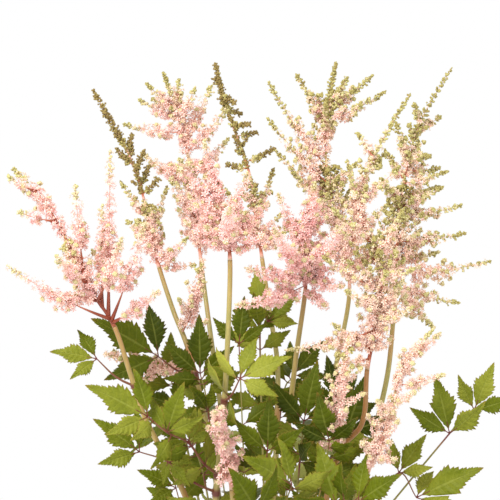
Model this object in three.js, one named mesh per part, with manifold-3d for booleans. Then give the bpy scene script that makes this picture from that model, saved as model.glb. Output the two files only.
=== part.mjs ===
// A flowering astilbe, a garden perennial, growing in a plain round nursery pot.
//
// Millimetres, +Z up, origin at the centre of the pot's underside. Each flowering shoot is a stalk with an
// open panicle, or plume, on top: a rachis with side sprays, each spray a spike of small florets. Two
// shoots are still in tight bud at their tips. The leaves are compound: a thin petiole with one to three
// hubs, each hub with three toothed leaflets. What grows by rule is drawn from one seeded generator, and it
// turns or shortens until it is clear of what already stands, as stems in a clump do.

import * as THREE from "three";
import { mergeVertices } from "three/addons/utils/BufferGeometryUtils.js";
import Module from "manifold-3d";

const wasm = await Module();
wasm.setup();

// ---- Driving dimensions ----

const GAP = 0.3; // between pieces that touch
const SEED = 20;

const POT = {
  height: 170,
  topRadius: 88,
  baseRadius: 68,
  wall: 2.4,
  floor: 3,
  lipHeight: 15,
  lipDepth: 4,
  lipSlope: 1.5, // how much its underside rises on the way out
  drains: 5,
  drainRadius: 5,
  drainRing: 40,
};
const SOIL_TOP = 158;
const ROUND_SIDES = 28;

const HEART = [-12, 0, 518]; // the middle of the flowers
const LEAN = 1.6; // how much further the shoots lean forward and back at that height than at the soil
const OPENING = 1 / 1900; // how much wider the clump is for each millimetre back

const STALK_RADIUS = 3.3; // at the soil
const STALK_TOP_RADIUS = 2.3; // where the panicle starts
const STALK_SIDES = 5;
const STALK_RING = 52; // between a stalk's rings
const RACHIS_SIDES = 4;
const RACHIS_RING = 55;
const RACHIS_TIP_RADIUS = 0.8;
const TWIG_RADIUS = 0.9; // the bare foot of a spray
const FLORET_PITCH = 26; // between whorls of florets on a spray
const WHORL = 3; // florets in a whorl
const WHORL_RISE = 0.42; // where a whorl is widest, as a share of the pitch
const CORE_SHARE = 0.45; // a spray's core, as a share of its radius over the florets
const BARE_SHARE = 0.14; // of a spray's length
const SPRAY_SAG = 0.07; // of a spray's length
const FILL_REACH = 0.9; // radius of the sprays that grow by rule, as a share of the others'
const SPIKE_SHARE = 0.5; // of a panicle that is its own top spike
const BUD_REACH = 4.4; // a spray's radius over buds
const BUD_FILL = 4;
const BUD_LENGTH = 20;
const SIDE_BARE = 0.28; // of a side shoot's length
const SIDE_RADIUS = 1.4; // of its stem
const SLIVER = 0.01; // faces thinner than this, left where pieces join, are closed up
const SINK = 0.01; // how far a stem runs into the spike at its end, as a share of its curve
const ROOT_REACH = 9; // how near its root a spray or petiole may be to what it grows from
const ROOT_DEPTH = 22; // of a petiole in the soil
const GOLDEN_ANGLE = 2.4;

const PETIOLE_RADIUS = 1.5; // at its root
const PETIOLE_TAPER = 0.6; // how much thinner it is at its end
const PETIOLE_SAG = 4; // of one that grows from a stalk
const PETIOLE_SPLAY = 1.12; // how much further out one from the soil is where it bends
const PETIOLE_RISE = 30; // how far above the soil that is
const BLADE_HALF_THICKNESS = 0.6;
const BLADE_FOLD = 0.22; // how far the halves rise from the midrib, for each millimetre out
const BLADE_LIFT = 0.1; // how steeply a blade leaves its hub
const BLADE_NOD = 0.16; // how far its tip then comes down, as a share of its length
const HUB_HALF_THICKNESS = 0.8;
const HUB_REACH = 1.6; // from a hub's middle to its back edge
const NOTCH_REACH = 2.6; // and to where two leaflets part
const LONG_LEAFLET = 70; // longer ones have a tooth more on each side
const BLADE_WIDTH_SHARE = 0.4; // of a leaflet's length
const BLADE_FOOT = 0.1; // of its length
const TOOTH_DEPTH = 0.2; // of the blade's half width
const TOOTH_LEAN = 0.28; // how far its point leans to the leaflet's tip, as a share of the tooth
const SIDE_LEAFLET = { turn: 0.84, length: 0.76 }; // from the middle leaflet, and as a share of it

// What grows takes the first of these that is clear: a share of its length, then a shift in depth, or for a
// leaflet a nod and a swing, in radians.
const SPRAY_SHRINKS = [1, 0.86, 0.72];
const SPRAY_SHIFTS = [0, 9, -9, 18, -18, 27, -27];
const LEAF_SHIFTS = [0, -8, 8, -16, 16, -24, 24, -32, 32];
const LEAFLET_SHRINKS = [1, 0.82, 0.66];
const LEAFLET_NODS = [0, 0.22, -0.22, 0.44, -0.44, 0.66, -0.66];
const LEAFLET_SWINGS = [0, 0.12, -0.12];

// Where the sprays that grow by rule start along their panicle, how much shorter the last is than the first,
// and how far they reach out and on. Those in bud stand steeper.
const RULE = { first: 0.06, span: 0.82, taper: 0.55, out: 0.82, on: 0.5, turns: 6 };
const BUD_RULE = { ...RULE, out: 0.46, on: 0.85 };

// What each piece keeps free round itself while the plant grows.
const CELL = 15; // of the grid that finds neighbours
const BALL_PITCH = 5;
const STEM_MARGIN = 0.6;
const FLORET_MARGIN = 0.4;
const PETIOLE_BALL = 2.2;
const BLADE_BALL = 3.1;
const OWN_SHARE = 0.5; // how near the sprays of one panicle may come, as a share of what others keep

// ---- The plant's layout ----

// points run from the root to the tip. bloom is the point where the panicle starts, and buds the point
// where the flowers are still in bud. reach is a spray's radius over the florets. sprays hold the place
// along the panicle, from 0 to 1, and the tip. fill is how many more grow by rule, at most fillLength long.
const SHOOTS = [
  {
    name: "a",
    points: [
      [-34, -8, 128], [-54, -9, 205], [-75, -10, 270], [-95, -12, 310], [-117, -14, 353], [-131, -16, 395],
      [-147, -19, 442], [-168, -20, 474], [-188, -17, 513], [-208, -13, 551], [-228, -8, 579],
      [-249, -4, 600],
    ],
    bloom: 6,
    reach: 7,
    sprays: [
      [0.04, -254, -36, 502], [0.06, -152, -8, 618], [0.3, -187, -32, 583], [0.26, -206, -48, 512],
      [0.03, -116, -30, 546], [0.02, -102, -34, 478], [0.12, -160, 14, 563], [0.16, -140, -52, 530],
    ],
    fill: 4,
    fillLength: 60,
  },
  {
    name: "b",
    points: [
      [-22, 14, 128], [-38, 19, 230], [-54, 25, 330], [-73, 30, 413], [-89, 34, 456], [-103, 36, 500],
      [-112, 37, 535], [-118, 37, 568], [-130, 36, 606], [-146, 36, 637], [-169, 35, 678],
    ],
    bloom: 5,
    buds: 7,
    reach: 5,
    sprays: [
      [0.15, -90, 28, 519], [0.05, -74, 22, 531], [0.04, -66, 34, 503], [0.5, -95, 46, 582],
      [0.4, -136, 50, 548], [0.7, -142, 40, 587],
    ],
    budSprays: [
      [0.05, -103, 34, 590], [0.12, -113, 46, 603], [0.25, -118, 30, 618], [0.3, -146, 44, 620],
      [0.45, -130, 44, 634],
    ],
    fill: 2,
    fillLength: 45,
  },
  {
    name: "c",
    points: [
      [-10, 34, 128], [-24, 39, 230], [-38, 44, 330], [-53, 50, 440], [-61, 52, 505], [-66, 52, 553],
      [-71, 52, 592], [-78, 52, 632], [-88, 52, 666], [-99, 50, 696],
    ],
    bloom: 4,
    reach: 6.5,
    sprays: [
      [0.62, -139, 46, 644], [0.7, -124, 60, 669], [0.76, -116, 46, 685], [0.74, -84, 62, 690],
      [0.7, -67, 44, 680], [0.6, -50, 60, 683], [0.52, -33, 46, 662], [0.4, -33, 62, 630],
      [0.35, -122, 44, 616], [0.42, -112, 64, 606], [0.18, -92, 40, 590], [0.1, -84, 70, 560],
      [0.12, -40, 44, 585],
    ],
    fill: 4,
    fillLength: 60,
  },
  {
    name: "d",
    points: [
      [8, 24, 128], [12, 31, 230], [15, 37, 330], [16, 41, 400], [8, 43, 455], [0, 42, 510], [-6, 40, 552],
      [-12, 40, 592], [-23, 40, 626], [-34, 40, 655], [-41, 40, 680], [-47, 40, 705],
    ],
    bloom: 5,
    buds: 7,
    reach: 5,
    sprays: [
      [0.2, 28, 48, 546], [0.1, 24, 30, 536], [0.3, -37, 52, 580], [0.5, 12, 54, 600], [0.2, -30, 30, 560],
    ],
    budSprays: [
      [0.05, -36, 42, 604], [0.1, 13, 50, 620], [0.3, -5, 42, 636], [0.4, -12, 32, 644],
      [0.55, -20, 46, 654], [0.7, -27, 36, 665],
    ],
    fill: 2,
    fillLength: 45,
  },
  {
    name: "e",
    points: [
      [-46, -24, 128], [-47, -28, 200], [-46, -32, 270], [-38, -36, 360], [-34, -37, 430], [-32, -37, 508],
      [-38, -38, 545], [-48, -37, 585], [-58, -34, 628],
    ],
    bloom: 5,
    reach: 7,
    sprays: [
      [0.05, -78, -46, 548], [0.12, -74, -28, 574], [0.05, 2, -46, 534], [0.15, 6, -34, 566],
      [0.3, -14, -48, 596], [0.42, -86, -42, 604], [0.2, -32, -80, 560],
    ],
    fill: 4,
    fillLength: 52,
  },
  {
    name: "f",
    points: [
      [10, -6, 128], [17, -8, 230], [24, -10, 320], [33, -12, 405], [43, -15, 476], [43, -22, 508],
      [46, -28, 545], [53, -30, 586],
    ],
    bloom: 4,
    reach: 7,
    sprays: [
      [0.05, -26, -54, 464], [0.12, -16, -46, 500], [0.25, 82, -50, 543], [0.2, 12, -60, 540],
      [0.1, 82, -32, 482], [0.03, 64, -26, 462], [0.4, 16, -30, 575],
    ],
    fill: 4,
    fillLength: 52,
  },
  {
    name: "g",
    points: [
      [34, 28, 128], [47, 31, 230], [60, 34, 320], [75, 35, 400], [88, 32, 478], [78, 29, 538],
      [67, 27, 588], [63, 26, 634], [68, 24, 672], [74, 22, 706],
    ],
    bloom: 4,
    reach: 6,
    sprays: [
      [0.72, 111, 30, 693], [0.66, 124, 18, 677], [0.68, 34, 22, 694], [0.74, 86, 40, 692],
      [0.66, 46, 42, 672], [0.45, 6, 30, 686], [0.38, 5, 18, 650], [0.3, 13, 40, 618], [0.22, 28, 14, 600],
      [0.15, 128, 40, 566], [0.1, 22, 46, 540], [0.05, 112, 50, 522],
    ],
    fill: 4,
    fillLength: 60,
  },
  {
    name: "h",
    points: [
      [56, 8, 128], [78, 9, 205], [98, 10, 282], [113, 11, 335], [126, 12, 392], [131, 12, 440],
      [133, 12, 478], [135, 12, 522], [139, 12, 568], [147, 12, 608], [160, 12, 650], [190, 10, 700],
    ],
    bloom: 6,
    reach: 5.5,
    sprays: [
      [0.75, 179, 18, 652], [0.62, 168, 0, 612], [0.55, 178, 24, 600], [0.48, 186, 6, 597],
      [0.42, 178, 26, 582], [0.33, 200, 14, 563], [0.22, 204, 4, 535], [0.14, 177, 22, 516],
      [0.08, 229, 10, 507], [0.02, 198, 0, 465], [0.6, 134, 0, 646], [0.5, 123, 24, 618],
      [0.4, 118, 0, 590], [0.03, 172, -16, 440],
    ],
    fill: 4,
    fillLength: 60,
  },
  {
    name: "k",
    points: [
      [36, -22, 128], [52, -24, 220], [75, -25, 314], [99, -27, 348], [104, -28, 400], [113, -28, 440],
      [118, -28, 475], [117, -28, 508], [104, -28, 537], [94, -26, 566], [108, -24, 603], [126, -22, 638],
      [148, -20, 674],
    ],
    bloom: 4,
    reach: 5.5,
    sprays: [
      [0.06, 70, -36, 445], [0.03, 81, -42, 407], [0.12, 23, -38, 418], [0.2, 83, -46, 478],
      [0.26, 60, -40, 512], [0.15, 150, -44, 462], [0.3, 152, -44, 500], [0.5, 85, -34, 608],
      [0.55, 81, -18, 634], [0.4, 142, -34, 560], [0.62, 138, -34, 602], [0.45, 70, -44, 560],
    ],
    fill: 4,
    fillLength: 55,
  },
  {
    name: "j",
    points: [
      [58, -22, 128], [72, -27, 200], [88, -35, 255], [103, -40, 300], [116, -42, 330], [126, -42, 362],
      [135, -41, 392], [148, -40, 418], [170, -38, 440],
    ],
    bloom: 3,
    reach: 5,
    sprays: [
      [0.55, 179, -46, 396], [0.75, 177, -28, 436], [0.1, 130, -52, 314], [0.15, 96, -50, 330],
      [0.35, 112, -54, 372], [0.45, 150, -56, 380],
    ],
    fill: 2,
    fillLength: 32,
  },
  {
    name: "l",
    points: [
      [-16, -44, 128], [-22, -44, 210], [-30, -47, 285], [-36, -52, 330], [-42, -62, 352], [-46, -72, 362],
    ],
    bloom: 2,
    reach: 5.5,
    sprays: [[0.2, -20, -54, 284], [0.1, -44, -58, 292]],
    fill: 5,
    fillLength: 26,
  },
];

// Small shoots that rise from the side of another shoot's stalk. The first point lies on the host's middle.
const SIDE_SHOOTS = [
  {
    name: "m",
    host: "b",
    points: [[-70, 29, 400], [-104, 22, 398], [-132, 20, 406], [-158, 18, 414]],
    reach: 5,
    sprays: [],
  },
  {
    name: "n",
    host: "b",
    points: [[-81, 32, 434], [-70, 24, 456], [-64, 20, 480], [-59, 20, 508]],
    reach: 4.5,
    sprays: [[0.3, -84, 12, 470]],
  },
  {
    name: "p",
    host: "k",
    points: [[75, -25, 314], [76, -42, 356], [80, -46, 396], [86, -46, 434]],
    reach: 4,
    sprays: [],
  },
];

// on is the shoot that the petiole leaves, and from the height there; without on, from is its place in the
// soil. hubs hold each hub and the tip of its middle leaflet, as six numbers. These leaves face forward.
const FRONT = [0, -1, 0.45];
const LEAVES = [
  { on: "a", from: 384, hubs: [[-164, -22, 410, -211, -26, 419]] },
  { on: "b", from: 388, hubs: [[-104, 12, 411, -168, 4, 450]] },
  {
    on: "e", from: 300,
    hubs: [
      [-72, -50, 330, -70, -54, 362], [-93, -58, 341, -84, -62, 388], [-111, -60, 356, -167, -66, 386],
    ],
  },
  { on: "e", from: 282, hubs: [[-92, -50, 312, -70, -60, 290], [-120, -46, 321, -164, -50, 354]] },
  { from: [-30, 2], hubs: [[-54, 8, 356, -84, 6, 386], [-62, 8, 394, -63, 2, 455]] },
  { from: [-12, 12], hubs: [[-23, 4, 424, -18, 0, 470]] },
  { from: [4, 8], hubs: [[-2, 22, 438, -6, 20, 484], [6, 20, 446, 36, 16, 476]] },
  { on: "e", from: 372, hubs: [[-22, -50, 392, 30, -54, 416]] },
  { from: [-8, -28], hubs: [[5, -48, 322, 7, -56, 376]] },
  { from: [24, -26], hubs: [[37, -32, 310, 72, -44, 336], [41, -36, 350, 54, -40, 408]] },
  {
    from: [44, 22],
    hubs: [[70, 14, 300, 116, 4, 318], [84, 8, 334, 104, 2, 392], [76, 16, 364, 66, 14, 410]],
  },
  { from: [10, -46], hubs: [[20, -62, 262, 52, -80, 294], [28, -70, 292, -18, -84, 322]] },
  { from: [62, -6], hubs: [[186, -16, 336, 179, -22, 399], [211, -12, 359, 230, -16, 405]] },
  { on: "j", from: 236, hubs: [[135, -24, 298, 161, -28, 336], [152, -26, 274, 209, -34, 311]] },
  { from: [46, -44], hubs: [[72, -62, 268, 58, -74, 322], [92, -70, 276, 134, -80, 306]] },
  { from: [-4, -58], hubs: [[-6, -88, 270, -30, -104, 312]] },
  { from: [-56, 0], hubs: [[-86, 0, 280, -124, -6, 300]] },
  { from: [-36, -16], hubs: [[-58, -24, 296, -32, -28, 336], [-72, -26, 330, -110, -30, 352]] },
  { from: [28, -40], hubs: [[60, -46, 292, 96, -50, 318], [66, -48, 330, 60, -52, 380]] },
  { from: [4, 36], hubs: [[20, 40, 358, 6, 38, 408], [32, 44, 390, 62, 44, 426]] },
  { from: [-44, 26], hubs: [[-84, 34, 356, -122, 38, 388], [-92, 36, 386, -92, 34, 436]] },
];

// Leaves that grow by rule, in rings: how many, the first one's bearing and the step to the next in degrees,
// then the hub's distance and height, the middle leaflet's length and the root's distance.
const RING_TRIES = 8;
const RING_STEP = 6; // degrees further round at each try
const LEAF_RINGS = [
  { count: 4, bearing: 20, span: 46, distance: 92, height: 330, length: 74, root: 46 },
  { count: 6, bearing: -20, span: 60, distance: 106, height: 246, length: 70, root: 54 },
];

// ---- The seeded generator ----

let seed = SEED;
function draw(low, high) {
  seed = (Math.imul(seed, 1664525) + 1013904223) >>> 0;
  return low + ((high - low) * seed) / 2 ** 32;
}

// ---- Vectors and curves ----

const vec = (x, y, z) => new THREE.Vector3(x, y, z);

// The part of v that is square to the unit vector d, at length 1.
function squareTo(v, d) {
  const flat = v.clone().addScaledVector(d, -v.dot(d));
  if (flat.length() < 1e-3) return squareTo(Math.abs(d.x) < 0.7 ? vec(1, 0, 0) : vec(0, 1, 0), d);
  return flat.normalize();
}

// A point of the layout in its place: the higher it is, the further its shoot leans forward or back, and
// what leans back also stands wider and taller.
function place([x, y, z]) {
  const rise = THREE.MathUtils.clamp((z - SOIL_TOP) / (HEART[2] - SOIL_TOP), 0, 1);
  const depth = y * (1 + LEAN * rise);
  const wider = 1 + rise * OPENING * depth;
  return vec(HEART[0] + (x - HEART[0]) * wider, depth, HEART[2] + (z - HEART[2]) * wider);
}

const curveThrough = (points) => new THREE.CatmullRomCurve3(points, false, "catmullrom", 0.5);

// A spray hangs a little between its root and its tip.
function sprayCurve(root, tip) {
  const middle = root.clone().lerp(tip, 0.5);
  middle.z -= root.distanceTo(tip) * SPRAY_SAG;
  return new THREE.QuadraticBezierCurve3(root, middle, tip);
}

// The place on a curve that is a short way before t.
function stepBack(curve, t, distance) {
  const step = 0.001;
  return t - (distance * step) / curve.getPoint(t).distanceTo(curve.getPoint(t - step));
}

// ---- The thicket: which space is taken ----

class Thicket {
  cells = new Map();

  static cellOf(point) {
    return [point.x, point.y, point.z].map((c) => Math.floor(c / CELL));
  }

  add(owner, { point, radius }) {
    const key = Thicket.cellOf(point).join();
    if (!this.cells.has(key)) this.cells.set(key, []);
    this.cells.get(key).push({ owner, point: point.clone(), radius });
  }

  near(point) {
    const [x, y, z] = Thicket.cellOf(point);
    const balls = [];
    for (let i = x - 1; i <= x + 1; i++) {
      for (let j = y - 1; j <= y + 1; j++) {
        for (let k = z - 1; k <= z + 1; k++) balls.push(...(this.cells.get([i, j, k].join()) ?? []));
      }
    }
    return balls;
  }

  // Whether a ball is clear of the others. Those of its own node may come nearer, and those of its kin don't
  // count.
  isFree(node, kin, { point, radius }) {
    return this.near(point).every((taken) => {
      if (kin.includes(taken.owner)) return true;
      const share = taken.owner === node ? OWN_SHARE : 1;
      return taken.point.distanceTo(point) >= (taken.radius + radius) * share;
    });
  }
}

const thicket = new Thicket();
const allFree = (balls, node, kin = []) => balls.every((ball) => thicket.isFree(node, kin, ball));
const takeAll = (balls, owner) => balls.forEach((ball) => thicket.add(owner, ball));

// Balls along a stretch of a curve. Each knows how far along it lies, from 0 to 1.
function ballsAlong(curve, length, radiusAt, from = 0, to = 1) {
  const steps = Math.max(3, Math.ceil(length / BALL_PITCH));
  return Array.from({ length: steps + 1 }, (_, i) => {
    const along = i / steps;
    return { along, point: curve.getPoint(from + (to - from) * along), radius: radiusAt(along) };
  });
}

// ---- Solids ----

// A closed mesh as a manifold-3d solid. Faces that have shrunk to a line, as at a point, are left out.
function solidOf(geometry) {
  const bare = new THREE.BufferGeometry().setAttribute("position", geometry.getAttribute("position"));
  bare.setIndex(geometry.index);
  const merged = mergeVertices(bare, 1e-4);
  const corners = merged.index.array;
  const kept = [];
  for (let i = 0; i < corners.length; i += 3) {
    const [a, b, c] = corners.slice(i, i + 3);
    if (a !== b && b !== c && c !== a) kept.push(a, b, c);
  }
  const vertProperties = merged.attributes.position.array;
  return new wasm.Manifold(new wasm.Mesh({ numProp: 3, vertProperties, triVerts: new Uint32Array(kept) }));
}

function geometryOf(solid) {
  const mesh = solid.getMesh();
  const positions = Float32Array.from({ length: mesh.numVert * 3 }, (_, i) => {
    return mesh.vertProperties[Math.floor(i / 3) * mesh.numProp + (i % 3)];
  });
  const geometry = new THREE.BufferGeometry();
  geometry.setAttribute("position", new THREE.BufferAttribute(positions, 3));
  geometry.setIndex(new THREE.BufferAttribute(mesh.triVerts, 1));
  return geometry;
}

// The rings of a rod: where each centre lies, and two directions square to the curve.
function framesAlong(curve, places) {
  let ahead = squareTo(vec(0, -1, 0), curve.getTangent(places[0]));
  return places.map((t) => {
    const tangent = curve.getTangent(t);
    ahead = squareTo(ahead, tangent);
    return { centre: curve.getPoint(t), ahead, side: ahead.clone().cross(tangent) };
  });
}

const evenly = (rings) => (ring) => ring / rings;

// A round rod bent along a stretch of a curve. placeOf, radiusAt and turnAt give each ring's place, radius
// and turn.
function limb(curve, { sides, rings, placeOf = evenly(rings), radiusAt, turnAt, from = 0, to = 1 }) {
  const geometry = new THREE.CylinderGeometry(1, 1, 1, sides, rings);
  const ringsPlaces = Array.from({ length: rings + 1 }, (_, ring) => from + (to - from) * placeOf(ring));
  const frames = framesAlong(curve, ringsPlaces);
  const position = geometry.attributes.position;
  for (let i = 0; i < position.count; i++) {
    const ring = Math.round((position.getY(i) + 0.5) * rings);
    const { centre, ahead, side } = frames[ring];
    const turn = Math.atan2(position.getZ(i), position.getX(i)) + (turnAt?.(ring) ?? 0);
    const reach = Math.hypot(position.getX(i), position.getZ(i)) * radiusAt(placeOf(ring), ring);
    const placed = centre.clone().addScaledVector(ahead, reach * Math.cos(turn));
    placed.addScaledVector(side, reach * Math.sin(turn));
    position.setXYZ(i, placed.x, placed.y, placed.z);
  }
  return solidOf(geometry);
}

// A spray's radius over the florets, from its foot to its tip.
const spreadAt = (s, reach) => (s < BARE_SHARE ? TWIG_RADIUS : reach * (1 - 0.5 * s * s));

// A spike of florets past a bare foot: whorls that stand out of a slim core, each turned half a floret from
// the last.
function floretSpike(curve, length, reach, { from = 0, foot = TWIG_RADIUS } = {}) {
  const whorls = Math.max(2, Math.round((length * (1 - BARE_SHARE)) / FLORET_PITCH));
  const rings = 2 * whorls + 1;
  const placeOf = (ring) => {
    if (ring === 0) return 0;
    const whorl = Math.floor((ring - 1) / 2) + (ring % 2 ? 0 : WHORL_RISE);
    return BARE_SHARE + ((1 - BARE_SHARE) * whorl) / whorls;
  };
  const radiusAt = (s, ring) => {
    if (ring < 2) return foot;
    if (ring === rings) return 0;
    return ring % 2 ? reach * CORE_SHARE * (1 - 0.5 * s) : spreadAt(s, reach);
  };
  const turnAt = (ring) => (ring * Math.PI) / (2 * WHORL);
  return limb(curve, { sides: WHORL, rings, radiusAt, placeOf, turnAt, from });
}

// ---- Leaflets ----

// A leaflet's half width at a share of its length.
const bladeWidth = (s, length) => ((length * BLADE_WIDTH_SHARE) / 2) * Math.sin(Math.PI * s ** 0.9);

// A point of a leaflet's middle sheet: the tip nods, and the halves rise from the midrib.
function bladePoint(hub, { direction, face, length }, s, across, above = 0) {
  const up = squareTo(face, direction);
  const right = direction.clone().cross(up);
  const rise = length * (BLADE_LIFT * s - BLADE_NOD * s * s) + BLADE_FOLD * Math.abs(across) + above;
  const point = hub.clone().addScaledVector(direction, s * length);
  return point.addScaledVector(right, across).addScaledVector(up, rise);
}

// How far along a leaflet its k-th tooth starts.
const toothStart = (k, teeth) => BLADE_FOOT + ((1 - BLADE_FOOT) * k) / teeth;

// A leaflet's midrib, above or below, between its foot and its tip.
function ribPoints(hub, leaflet, way) {
  return Array.from({ length: leaflet.teeth - 1 }, (_, i) => {
    const s = toothStart(i + 1, leaflet.teeth);
    return bladePoint(hub, leaflet, s, 0, way * BLADE_HALF_THICKNESS * (1 - 0.4 * s));
  });
}

// The plane along a seam between two leaflets that faces the one to the given side of it.
function partingPlane(hub, normal, seam, way) {
  const facing = seam.clone().cross(normal).normalize().multiplyScalar(way);
  return new THREE.Plane().setFromNormalAndCoplanarPoint(facing, hub);
}

// A leaflet's toothed edge on one side, between its foot and its tip: teeth and the notches between them. It
// is drawn in where it would reach past the plane, if any, that parts the leaflet from its neighbour.
function edgePoints(hub, leaflet, way, parting) {
  const { length, teeth } = leaflet;
  return Array.from({ length: 2 * teeth - 1 }, (_, i) => {
    const k = (i + 1) / 2;
    const isTooth = i % 2 === 0;
    const s = toothStart(isTooth ? k + TOOTH_LEAN : k, teeth);
    const width = isTooth ? bladeWidth(s, length) : bladeWidth(s, length) * (1 - TOOTH_DEPTH);
    const [rib, point] = [bladePoint(hub, leaflet, s, 0), bladePoint(hub, leaflet, s, way * width)];
    const [inner, outer] = [rib, point].map((p) => parting?.distanceToPoint(p) ?? Infinity);
    return outer < GAP ? rib.lerp(point, (inner - GAP) / (inner - outer)) : point;
  });
}

// One to three toothed leaflets round a hub, listed from left to right, as one thin solid. Each leaflet is
// split alike above and below, from its midrib out to its teeth.
function leafletFan(hub, middle, normal, leaflets) {
  const points = [];
  const corners = [];
  const put = (point) => points.push(point) - 1;
  const beside = (d, reach) => put(hub.clone().addScaledVector(d.clone().normalize(), reach));
  const above = put(hub.clone().addScaledVector(normal, HUB_HALF_THICKNESS));
  const below = put(hub.clone().addScaledVector(normal, -HUB_HALF_THICKNESS));
  const back = beside(middle, -HUB_REACH);
  const seams = leaflets.slice(1).map((leaflet, i) => leaflet.direction.clone().add(leaflets[i].direction));
  const notches = seams.map((seam) => beside(seam, NOTCH_REACH));
  leaflets.forEach((leaflet, i) => {
    const tip = put(bladePoint(hub, leaflet, 1, 0));
    const ribs = [[above, 1], [below, -1]].map(([foot, way]) => {
      return { way, line: [foot, ...ribPoints(hub, leaflet, way).map(put), tip] };
    });
    for (const [seam, side] of [[i - 1, -1], [i, 1]]) {
      const parting = seams[seam] && partingPlane(hub, normal, seams[seam], -side);
      const edge = [notches[seam] ?? back, ...edgePoints(hub, leaflet, side, parting).map(put)];
      for (const { way, line } of ribs) {
        const add = (a, b, c) => corners.push(...(side * way > 0 ? [a, b, c] : [a, c, b]));
        for (let k = 0; k < leaflet.teeth; k++) {
          add(line[k], edge[2 * k], edge[2 * k + 1]);
          add(line[k], edge[2 * k + 1], line[k + 1]);
          if (k < leaflet.teeth - 1) add(line[k + 1], edge[2 * k + 1], edge[2 * k + 2]);
        }
      }
    }
  });
  return solidOf(new THREE.BufferGeometry().setFromPoints(points).setIndex(corners));
}

// Points spread over a leaflet, as balls.
function bladeBalls(hub, leaflet) {
  const steps = Math.ceil(leaflet.length / BALL_PITCH);
  const balls = [];
  for (let i = 2; i <= steps; i++) {
    for (const share of [-1, -0.5, 0, 0.5, 1]) {
      const across = share * Math.max(0, bladeWidth(i / steps, leaflet.length) - BLADE_BALL / 2);
      balls.push({ point: bladePoint(hub, leaflet, i / steps, across), radius: BLADE_BALL });
    }
  }
  return balls;
}

// ---- Stems ----

const solids = new Map(); // node name to the solids that are fused in it
const addTo = (node, solid) => solids.set(node, [...(solids.get(node) ?? []), solid]);
const holes = []; // what is cut from the soil
const shoots = new Map();

const nodesOf = (shoot) => [`stalk_${shoot.name}`, `plume_${shoot.name}`, `buds_${shoot.name}`];

function stemRadius({ bloomAt }, t) {
  if (t <= bloomAt) return THREE.MathUtils.lerp(STALK_RADIUS, STALK_TOP_RADIUS, t / bloomAt);
  return THREE.MathUtils.lerp(STALK_TOP_RADIUS, RACHIS_TIP_RADIUS, (t - bloomAt) / (1 - bloomAt));
}

// A shoot's stalk as a rod that is wider by a margin.
function stalkRod(shoot, margin, from = 0, to = shoot.bloomAt) {
  const rings = Math.round((shoot.length * shoot.bloomAt) / STALK_RING);
  const radiusAt = (s) => stemRadius(shoot, from + (to - from) * s) + margin;
  return limb(shoot.curve, { sides: STALK_SIDES, rings, radiusAt, from, to });
}

// What grows from a stalk is cut back to it, with a gap.
const clearOfStalk = (solid, host) => solid.subtract(stalkRod(host, GAP));

// The stretch of a shoot's curve that is in one node: its stalk, its open panicle or its buds.
function stretchOf(shoot, part) {
  const ends = [0, shoot.bloomAt, shoot.budsAt, 1];
  return { node: nodesOf(shoot)[part], from: ends[part], to: ends[part + 1] };
}

const endOf = (shoot) => stretchOf(shoot, shoot.budsAt < 1 ? 2 : 1);

// Where the spike that ends a panicle starts.
const spikeStart = (shoot) => 1 - SPIKE_SHARE * (1 - endOf(shoot).from);

function addStem(shoot, part) {
  const { node, from, to } = stretchOf(shoot, part);
  const end = to === 1 ? spikeStart(shoot) + SINK : stepBack(shoot.curve, to, GAP);
  const length = shoot.length * (end - from);
  const radiusAt = (s) => stemRadius(shoot, from + (end - from) * s);
  const rings = Math.max(2, Math.round(length / RACHIS_RING));
  takeAll(ballsAlong(shoot.curve, length, (s) => radiusAt(s) + STEM_MARGIN, from, end), node);
  if (part === 0) addTo(node, stalkRod(shoot, 0, GAP / shoot.length, end));
  else addTo(node, limb(shoot.curve, { sides: RACHIS_SIDES, rings, radiusAt, from, to: end }));
}

// A panicle ends in a spike of its own.
function addTopSpike(shoot) {
  const { node } = endOf(shoot);
  const from = spikeStart(shoot);
  const length = shoot.length * (1 - from);
  const reach = shoot.budsAt < 1 ? BUD_REACH : shoot.reach * FILL_REACH;
  addTo(node, floretSpike(shoot.curve, length, reach, { from, foot: stemRadius(shoot, from) * 0.8 }));
  takeAll(ballsAlong(shoot.curve, length, (s) => spreadAt(s, reach) + FLORET_MARGIN, from), node);
}

function addShoot(plan) {
  const last = plan.points.length - 1;
  const curve = curveThrough(plan.points.map(place));
  const budsAt = plan.buds ? plan.buds / last : 1;
  const shoot = { ...plan, curve, length: curve.getLength(), bloomAt: plan.bloom / last, budsAt };
  shoots.set(plan.name, shoot);
  addStem(shoot, 0);
  addStem(shoot, 1);
  if (budsAt < 1) addStem(shoot, 2);
  holes.push(stalkRod(shoot, GAP));
}

// ---- Sprays ----

// One spray of a panicle, from a share of its stretch to a tip. It shifts in depth until it is clear, and
// then it shortens.
function addSpray(shoot, { node, from, to }, share, tip, reach) {
  const root = shoot.curve.getPoint(from + (to - from) * share);
  for (const shrink of SPRAY_SHRINKS) {
    for (const shift of SPRAY_SHIFTS) {
      const end = root.clone().lerp(tip.clone().add(vec(0, shift, 0)), shrink);
      const curve = sprayCurve(root, end);
      const length = root.distanceTo(end);
      const balls = ballsAlong(curve, length, (s) => spreadAt(s, reach) + FLORET_MARGIN);
      const isNear = ({ along }) => along * length < ROOT_REACH;
      const far = balls.filter((ball) => !isNear(ball));
      if (!allFree(balls.filter(isNear), node, nodesOf(shoot)) || !allFree(far, node)) continue;
      takeAll(balls, node);
      addTo(node, floretSpike(curve, length, reach));
      return true;
    }
  }
  return false;
}

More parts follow.
